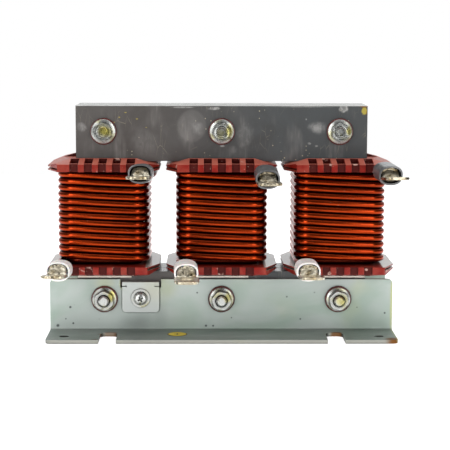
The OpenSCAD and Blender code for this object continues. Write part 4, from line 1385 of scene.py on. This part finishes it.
@dataclass
class Clamp(Assembly):
    """The two angle brackets and the bolts, nuts, fibre washers and liners that hold the stack."""
    thread: float = 1.25 * MM
    bolt_r: float = 4.0 * MM
    af: float = 13.0 * MM
    head_af: float = 12.2 * MM
    flange_r: float = 8.95 * MM
    rim: float = 0.868 * MM
    head_h: float = 6.6 * MM
    nut_h: float = 8.0 * MM
    end: float = 3.0 * MM
    crown: float = 1.06
    top: float = 0.96
    point: float = 1.135
    cone_slope: float = 2.6
    chamfer_slope: float = 1.73
    thread_l: float = 8.0 * MM
    thread_depth: float = 0.6 * MM
    tip_cut: float = 1.1 * MM
    washer_t: float = 1.5 * MM
    washer_bore: float = 5.3 * MM
    washer_round: float = 0.35 * MM
    blooms: dict[Row, Marks] = field(default_factory=lambda: {
        Row.UPPER: marks((1.5, 0.5, 4.4, 3.8, 0.9), (5.6, 0.5, 2.2, 4.6, 0.8),
                         (6.4, 0.8, 2.0, 3.2, 0.8)),
        Row.LOWER: marks((5.6, 3.2, 2.4, 3.6, 0.8), (4.4, 2.4, 2.4, 3.4, 0.7),
                         (2.0, 1.2, 4.2, 4.2, 0.6))})
    turns: dict[Row, Triple] = field(default_factory=lambda: {
        Row.UPPER: (12.0, -17.0, 4.0), Row.LOWER: (35.0, 6.0, 27.0)})
    nut_turns: Triple = (4.0, 20.0, 12.0)
    dishes: Triple = (0.7 * MM, 1.1 * MM, 1.1 * MM)
    stains: Marks = marks(
        (-71.0, 37.5, 4.0, 4.5, 0.8), (-87.0, 38.0, 6.0, 4.0, 0.25, 0.8),
        (124.5, -59.5, 5.4, 4.6, 1.0, 0.4, "Y"), (-88.0, -42.0, 3.0, 3.0, 0.5, 0.4, "Y"),
        (-77.5, -47.0, 1.2, 4.0, 0.8, 0.3, "Y"), (84.0, -41.5, 3.0, 2.0, 0.7, 0.4, "Y"),
        (-91.5, -60.8, 3.0, 0.8, 0.7, 0.3, "Y"), (127.0, 22.0, 1.0, 19.0, 0.6, 0.6),
        (85.0, -37.0, 4.0, 3.0, 0.9, 0.4, "Y"), (-82.0, -37.0, 5.0, 2.5, 0.6, 0.4, "Y"))
    # Painted shade: dark patches under and beside the earth tab and on the foot near its bend.
    shade_patches: Marks = marks(
        (-62.0, 7.5, 10.0, 6.0, 0.4, 0.9), (-58.0, -34.0, 24.0, 9.0, 0.35, 0.9, "Y"),
        (-45.0, 12.0, 4.0, 10.0, 0.2, 0.9), (60.0, -30.0, 40.0, 7.0, 0.2, 0.9, "Y"))
    specks: Marks = marks(*((x, z, size, size, 0.85) for x, z, size in (
        (-112.6, 19.8, 0.8), (-110.5, 7.6, 0.7), (-18.1, 30.7, 0.6), (-52.6, 33.2, 0.5),
        (-11.5, 5.7, 0.8), (-6.2, 5.6, 0.7), (-122.0, 5.9, 1.1), (59.0, 10.8, 0.6),
        (122.1, 15.3, 0.7))))

    def _hex_rings(self, af: float, height: float, turn: float, bore: float = 0.0,
                   dish: float = 0.0) -> Array:
        """Rings of a flanged hexagon from its seat up, over its top and into its dish or bore.

        The radius is the larger of the flange's cone and the hexagon, which is half its flats' width
        over the cosine of the angle to the nearest flat, cut by a 30 degree cone at the top.

        Args:
            af: the hexagon's width across its flats.
            height: from the seat to the top.
            turn: how far the hexagon is turned, in degrees.
            bore: radius of the bore, or 0 for a closed head.
            dish: depth of the round recess in a closed head's top.

        Returns:
            Array of rings by points by (across, up, out of the seat).
        """
        angle = circle(96)
        local = np.mod(angle - math.radians(turn) + np.pi / 6.0, np.pi / 3.0) - np.pi / 6.0
        hexagon = af / 2.0 * np.minimum(1.0 / np.cos(local), self.point)
        z = np.concatenate([[0.0, 0.12 * MM], np.linspace(self.rim * 0.8, self.rim, 3),
                            np.linspace(self.rim, self.rim + 1.0 * MM, 12)[1:], [2.6 * MM, 3.1 * MM],
                            np.linspace(3.1 * MM, height - 1.2 * MM, 3)[1:],
                            np.linspace(height - 1.2 * MM, height, 8)[1:]])
        cone = self.flange_r - 0.06 * MM - np.maximum(z - self.rim, 0.0) * self.cone_slope
        cone[:2] -= [0.25 * MM, 0.05 * MM]
        cone[4] -= 0.08 * MM
        chamfer = af / 2.0 * self.crown + (height - z) * self.chamfer_slope
        radius = np.maximum(np.minimum(hexagon[None, :], chamfer[:, None]), cone[:, None])
        edge = af / 2.0 * self.top
        if bore > 0.0:
            inside = np.array([edge - 0.25 * MM, bore + 0.6 * MM, bore, bore])
            levels = np.array([height, height, height - 0.6 * MM, 0.2 * MM])
        else:
            inside = edge * np.array([0.97, 0.84, 0.72, 0.64, 0.6, 0.53, 0.46, 0.3, 0.04])
            levels = height - dish * np.array([0.5, 0.7, 0.55, 0.0, 0.0, 0.3, 0.9, 1.0, 0.94])
        radius = np.vstack([radius, np.minimum(radius[-1:], edge - 0.05 * MM),
                            np.repeat(inside[:, None], len(angle), axis=1)])
        return lathe(radius, np.concatenate([z, [height], levels]), angle)

    def _screw_rings(self, start: float, stop: float, thread_from: float) -> Array:
        """Rings of a round shank with a rolled thread at its end.

        The thread's radius falls and rises as a triangle wave of the height less the turn's share of
        one pitch. It deepens over its first pitch, and the shank's end is chamfered.

        Args:
            start: where the shank starts along the bolt.
            stop: where the bolt ends.
            thread_from: where the thread starts.

        Returns:
            Array of rings by points by (across, up, along).
        """
        angle = circle(30)
        turns = np.arange(thread_from, stop - 0.05 * MM, self.thread / 8.0)
        along = np.concatenate([[start], turns, [stop]])
        phase = along[:, None] / self.thread - angle[None, :] / (2.0 * np.pi)
        wave = np.abs(np.mod(phase, 1.0) - 0.5) * 2.0
        depth = self.thread_depth * ramp(along, thread_from, thread_from + self.thread)
        tip = self.bolt_r - self.tip_cut + (stop - along)
        return lathe(np.minimum(self.bolt_r - depth[:, None] * wave, tip[:, None]), along, angle)

    def _axes(self, washers: Box) -> tuple[list[float], float]:
        """The three X places and the height of a row's bolts, from its fibre washers' box."""
        middle, reach = washers.middle.x, (washers.size.x - washers.size.z) / 2.0
        return [middle - reach, middle, middle + reach], washers.middle.z

    def bolts(self, row: Row) -> None:
        """Builds one row of bolts and nuts; the upper heads are in front, the lower at the rear."""
        washers = Box(f"{row.value}_fibre_washers")
        places, height = self._axes(washers)
        side, head_seat, nut_seat = ((-1.0, washers.low.y, washers.high.y) if row is Row.UPPER
                                     else (1.0, washers.high.y, washers.low.y))
        length = washers.size.y
        heads, nuts, blooms = Shell(), Shell(), []
        for x, mark, turn, nut_turn, dish in zip(places, self.blooms[row], self.turns[row],
                                                 self.nut_turns, self.dishes):
            head = self._hex_rings(self.head_af, self.head_h, turn, dish=dish)
            heads.tube(stand(head, x, height, head_seat, side))
            shank = self._screw_rings(-0.5 * MM, length + self.nut_h + self.end, length - self.thread_l)
            heads.tube(stand(shank, x, height, head_seat, -side))
            nut = self._hex_rings(self.af, self.nut_h, nut_turn, self.bolt_r + 0.05 * MM)
            nuts.grid(stand(nut, x, height, nut_seat, -side), wrap_rows=True)
            blooms.append(replace(mark, x=x / MM + mark.x, z=height / MM + mark.z))
        zinc = ("zinc_fastener", f"{row.value} bright zinc", BrightZinc(blooms=tuple(blooms)))
        for shell, node in ((heads, f"{row.value}_bolts"), (nuts, f"{row.value}_nuts")):
            self.dress(shell.piece(f"{node}_zinc", 24.0), *zinc, node)

    def fibre_washers(self, row: Row) -> None:
        """Builds one row's fibre washers, slightly squeezed out at the rim."""
        node = f"{row.value}_fibre_washers"
        box = Box(node)
        places, height = self._axes(box)
        thick, angle, fold = self.washer_t, circle(72), np.linspace(0.0, np.pi, 7)
        rim = box.size.z / 2.0 - self.washer_round * (1.0 - np.sin(fold))
        reach = np.concatenate([[self.washer_bore], rim, [self.washer_bore]])
        level = np.concatenate([[0.0], thick / 2.0 * (1.0 - np.cos(fold)), [thick]])
        uneven = 1.0 - 0.012 * (1.0 + np.sin(3.0 * angle) * np.sin(5.0 * angle + 1.0))
        rings = lathe(reach[:, None] * uneven, level, angle)
        shell = Shell()
        for seat, side in ((box.low.y + thick, -1.0), (box.high.y - thick, 1.0)):
            for x in places:
                shell.grid(stand(rings, x, height, seat, side), wrap_rows=True)
        self.dress(shell.piece(f"{row.value}_fibre_washer_set", 40.0), "fibre", "vulcanised fibre",
                   FibreSheet(), node)

    def build(self) -> None:
        """Builds brackets, bolts, nuts, washers and liners."""
        marked = ZincSheet(foot=True, stains=self.stains, shade_patches=self.shade_patches, specks=self.specks)
        for side, finish in (("front", marked), ("rear", ZincSheet(foot=True))):
            self.dress(softened(f"{side}_bracket", f"{side}_angle_bracket", 0.35 * MM, 3),
                       "zinc_bracket", f"{side} zinc sheet", finish, f"{side}_bracket")
        for row in Row:
            self.bolts(row)
            self.fibre_washers(row)
            self.dress(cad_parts[f"{row.value}_bolt_liners"], *BOARD)


@dataclass
class Earth(Assembly):
    """The earth terminal on the front bracket: hooked tab, washers and pan-head screw."""
    pan_r: float = 4.7 * MM
    pan_h: float = 3.2 * MM
    shank_r: float = 2.5 * MM
    recess_r: float = 2.5 * MM
    recess_arm: float = 0.65 * MM
    recess_depth: float = 1.8 * MM
    recess_turn: float = 28.0
    split: float = 6.0
    dome_share: float = 0.62
    pan_edge: float = 0.3 * MM
    zinc: BrightZinc = BrightZinc(crevice=1.3 * MM)
    sheet: ZincSheet = ZincSheet(srgb(193, 198, 195), srgb(180, 188, 180), srgb(200, 197, 156))

    def _fasten(self, piece: Object, node: str) -> None:
        """Dresses one small fastener in bright zinc."""
        self.dress(piece, "zinc_fastener", "earth bright zinc", self.zinc, node)

    def screw(self) -> None:
        """Lofts the domed head and shank as one profile turned about Y, then cuts the cross recess."""
        box = Box("earth_screw")
        x, z, front = box.middle.x, box.middle.z, box.low.y
        dome = np.linspace(0.0, np.pi / 2.0, 14)
        reach = np.concatenate([self.pan_r * np.sin(dome) ** 0.8, [
            self.pan_r, self.pan_r - self.pan_edge, self.shank_r, self.shank_r]])
        depth = front + np.concatenate([self.dome_share * self.pan_h * (1.0 - np.cos(dome)), [
            self.pan_h - self.pan_edge, self.pan_h, self.pan_h, box.size.y]])
        reach[0] = 0.05 * MM
        head = Shell().tube(stand(lathe(reach, depth, circle(64)), x, z)).piece("earth_pan_screw")
        a, r, turn = self.recess_arm, self.recess_r, math.radians(self.recess_turn)
        cross = np.array([(a, a), (a, r), (-a, r), (-a, a), (-r, a), (-r, -a), (-a, -a), (-a, -r),
                          (a, -r), (a, -a), (r, -a), (r, a)])
        cross = cross @ np.array([[math.cos(turn), math.sin(turn)], [-math.sin(turn), math.cos(turn)]])
        ends = ((front - 1.0 * MM, 1.12), (front + self.recess_depth, 0.55))
        rings = np.stack([np.insert((x, z) + share * cross, 1, y, axis=1) for y, share in ends])
        self._fasten(carved(head, Shell().tube(rings).piece("cross recess")), "earth_screw")

    def spring_washer(self) -> None:
        """Builds the split ring: a rounded square section carried round all but the split.

        Its two ends stand a little out of line, as on a washer that isn't quite flat.
        """
        box = Box("earth_spring_washer")
        thick, outer, inner = box.size.y, box.size.z / 2.0, self.shank_r + 0.1 * MM
        split, count = math.radians(self.split), 64
        turn = np.linspace(np.pi / 2.0 + split, 2.5 * np.pi - split, count)[:, None]
        across, up = superellipse(np.full(count, (outer - inner) / 2.0), np.full(count, thick * 0.44),
                                  np.full(count, 6.0), 20)
        reach = (outer + inner) / 2.0 + across
        lift = thick * 0.06 * np.linspace(-1.0, 1.0, count)[:, None]
        rings = np.stack([box.middle.x + reach * np.cos(turn), box.middle.y + up + lift,
                          box.middle.z + reach * np.sin(turn)], axis=-1)
        self._fasten(Shell().tube(rings).piece("earth_split_washer"), "earth_spring_washer")

    def build(self) -> None:
        """Builds the tab, both washers and the screw."""
        self.dress(softened("earth_tab", "earth_hook_tab", 0.3 * MM, 3), "zinc_tab", "zinc tab",
                   self.sheet, "earth_tab")
        self._fasten(softened("earth_flat_washer", "earth_plain_washer", 0.2 * MM), "earth_flat_washer")
        self.spring_washer()
        self.screw()


@dataclass
class Marker(Assembly):
    """The yellow paper dot on the front foot."""
    lift: float = 0.05 * MM

    def build(self) -> None:
        """Builds a thin disc whose edge falls to the sheet, with a faint crease across it."""
        box = Box("marker_dot")
        x, y, radius = box.middle.x, box.middle.y, box.size.x / 2.0
        reach = np.concatenate([[radius], radius * np.linspace(1.0, 0.02, 16)])
        rings = lathe(reach, np.full(len(reach), box.high.z - self.lift), circle(72))
        crease = np.exp(-((rings[..., 0] * 0.8 + rings[..., 1] * 0.6) / (0.8 * MM)) ** 2)
        rings[..., 2] += self.lift * crease * (1.0 - (reach / radius) ** 2)[:, None]
        rings[0, :, 2] = box.low.z
        self.dress(Shell().tube(rings + (x, y, 0.0)).piece("marker_paper_dot"), "marker",
                   "marker paper", MarkerPaper((x, y), radius), "marker_dot")


# Studio


@dataclass
class Softbox:
    """A rectangular area light that looks at a point."""
    name: str
    place: Triple
    size: tuple[float, float]
    power: float
    target: Triple = (0.0, 0.0, 0.09)

    def build(self) -> None:
        """Hangs the light."""
        light = bpy.data.lights.new(self.name, "AREA")
        light.shape = "RECTANGLE"
        light.size, light.size_y = self.size
        light.energy = self.power
        lamp = linked(self.name, light)
        lamp.location = self.place
        aim = Vector(self.target) - Vector(self.place)
        lamp.rotation_euler = aim.to_track_quat("-Z", "Y").to_euler()


@dataclass
class Studio:
    """Camera, lights, white surroundings and floor."""
    eye: Triple = (-11.96 * MM, -1088.85 * MM, 221.98 * MM)
    down: float = 7.51
    right: float = 0.78
    roll: float = 0.13
    focal_pixels: float = 1450.0
    image_width: float = 450.0
    sensor: float = 36.0
    dim: tuple[Colour, float] = ((0.9, 0.93, 1.0), 0.12)
    bright: tuple[Colour, float] = ((0.97, 0.99, 1.0), 0.95)
    seen: tuple[Colour, float] = ((1.0, 1.0, 1.0), 1.0)
    dawn: tuple[float, float] = (0.45, 1.2)
    floor_glow: float = 0.78
    floor_z: float = -0.05 * MM
    flag_y: float = -1.8
    boxes: tuple[Softbox, ...] = (
        Softbox("left softbox", (-0.85, -1.45, 0.36), (0.5, 1.3), 11.8),
        Softbox("right softbox", (0.8, -1.45, 0.36), (0.55, 1.3), 9.8),
        Softbox("top softbox", (0.0, -0.2, 1.5), (1.6, 1.0), 6.5))

    def camera(self) -> None:
        """Sets the camera where the photograph was taken from."""
        data = bpy.data.cameras.new("Camera")
        data.sensor_width = self.sensor
        data.lens = self.sensor * self.focal_pixels / self.image_width
        data.clip_start, data.clip_end = 0.05, 50.0
        lens = linked("Camera", data)
        down, right, roll = (math.radians(v) for v in (self.down, self.right, self.roll))
        ahead = Vector((math.sin(right) * math.cos(down), math.cos(right) * math.cos(down),
                        -math.sin(down)))
        across = Vector((math.cos(right), -math.sin(right), 0.0))
        up = across.cross(ahead)
        turned = across * math.cos(roll) + up * math.sin(roll)
        top = up * math.cos(roll) - across * math.sin(roll)
        axes = Matrix((turned, top, -ahead)).transposed()
        lens.matrix_world = Matrix.Translation(self.eye) @ axes.to_4x4()
        bpy.context.scene.camera = lens

    def surroundings(self) -> None:
        """Makes the air white to the camera, and for all else bright behind and above only."""
        world = bpy.data.worlds.new("Studio")
        bpy.context.scene.world = world
        world.use_nodes = True
        g = Graph(world.node_tree)
        output = g.tree.nodes.new("ShaderNodeOutputWorld")
        dim, bright, seen = (g.add("ShaderNodeBackground", {"Color": colour, "Strength": strength})
                             for colour, strength in (self.dim, self.bright, self.seen))
        toward = g.add("ShaderNodeTexCoord", {}, out="Generated")
        share = (g.axis("Y", toward) + g.axis("Z", toward)).step(*self.dawn)
        felt = g.add("ShaderNodeMixShader", {0: share, 1: dim, 2: bright})
        camera = g.add("ShaderNodeLightPath", {}, out="Is Camera Ray")
        g.feed(output.inputs["Surface"], g.add("ShaderNodeMixShader", {0: camera, 1: felt, 2: seen}))

    def floor(self) -> None:
        """Lays a wide pale floor that glows just enough to stay white; it ends below the picture."""
        x, y = np.array([-1.6, 0.0, 1.6]), np.array([-0.36, -0.2, 1.2])
        g = Surface("pale floor")
        grain = g.noise(300.0)
        self._sheet("floor", (x[None, :], y[:, None], self.floor_z), g.finish(
            Base_Color=g.paint(srgb(250, 250, 250), (grain * 0.04, srgb(244, 244, 244))),
            Roughness=0.8 + 0.05 * grain, Emission_Color=(1.0, 1.0, 1.0),
            Emission_Strength=self.floor_glow))

    def flag(self) -> None:
        """Hangs a black flag behind the camera, which keeps the middle of the coils dark."""
        x, z = np.array([-0.32, 0.32]), np.array([-0.3, 1.1])
        g = Surface("black cloth")
        weave = g.noise(500.0)
        self._sheet("black flag", (x[None, :], self.flag_y, z[:, None]), g.finish(
            Base_Color=g.paint(srgb(16, 16, 16), (weave, srgb(26, 26, 26))),
            Roughness=0.9 + 0.05 * weave))

    @staticmethod
    def _sheet(name: str, axes: tuple, material: Material) -> None:
        """Makes a flat sheet of the studio from its X, Y and Z, of which two span a grid."""
        rows = np.stack(np.broadcast_arrays(*axes), axis=-1)
        sheet = Shell().grid(rows, wrap_columns=False).piece(name)
        sheet.data.materials.append(material)

    def build(self) -> None:
        """Sets up camera, surroundings, floor, flag and lights."""
        self.camera()
        self.surroundings()
        self.floor()
        self.flag()
        bpy.context.scene.view_settings.view_transform = "Standard"
        for box in self.boxes:
            box.build()


def main() -> None:
    """Builds the studio and then the choke, from the core outwards."""
    logging.basicConfig(level=logging.INFO, format="%(name)s %(message)s")
    Studio().build()
    materials: dict[str, Material] = {}
    Core(materials).build()
    for phase in Phase:
        Coil(materials, phase).build()
    for kind in (Clamp, Earth, Marker):
        kind(materials).build()


if __name__ == "__main__":
    main()
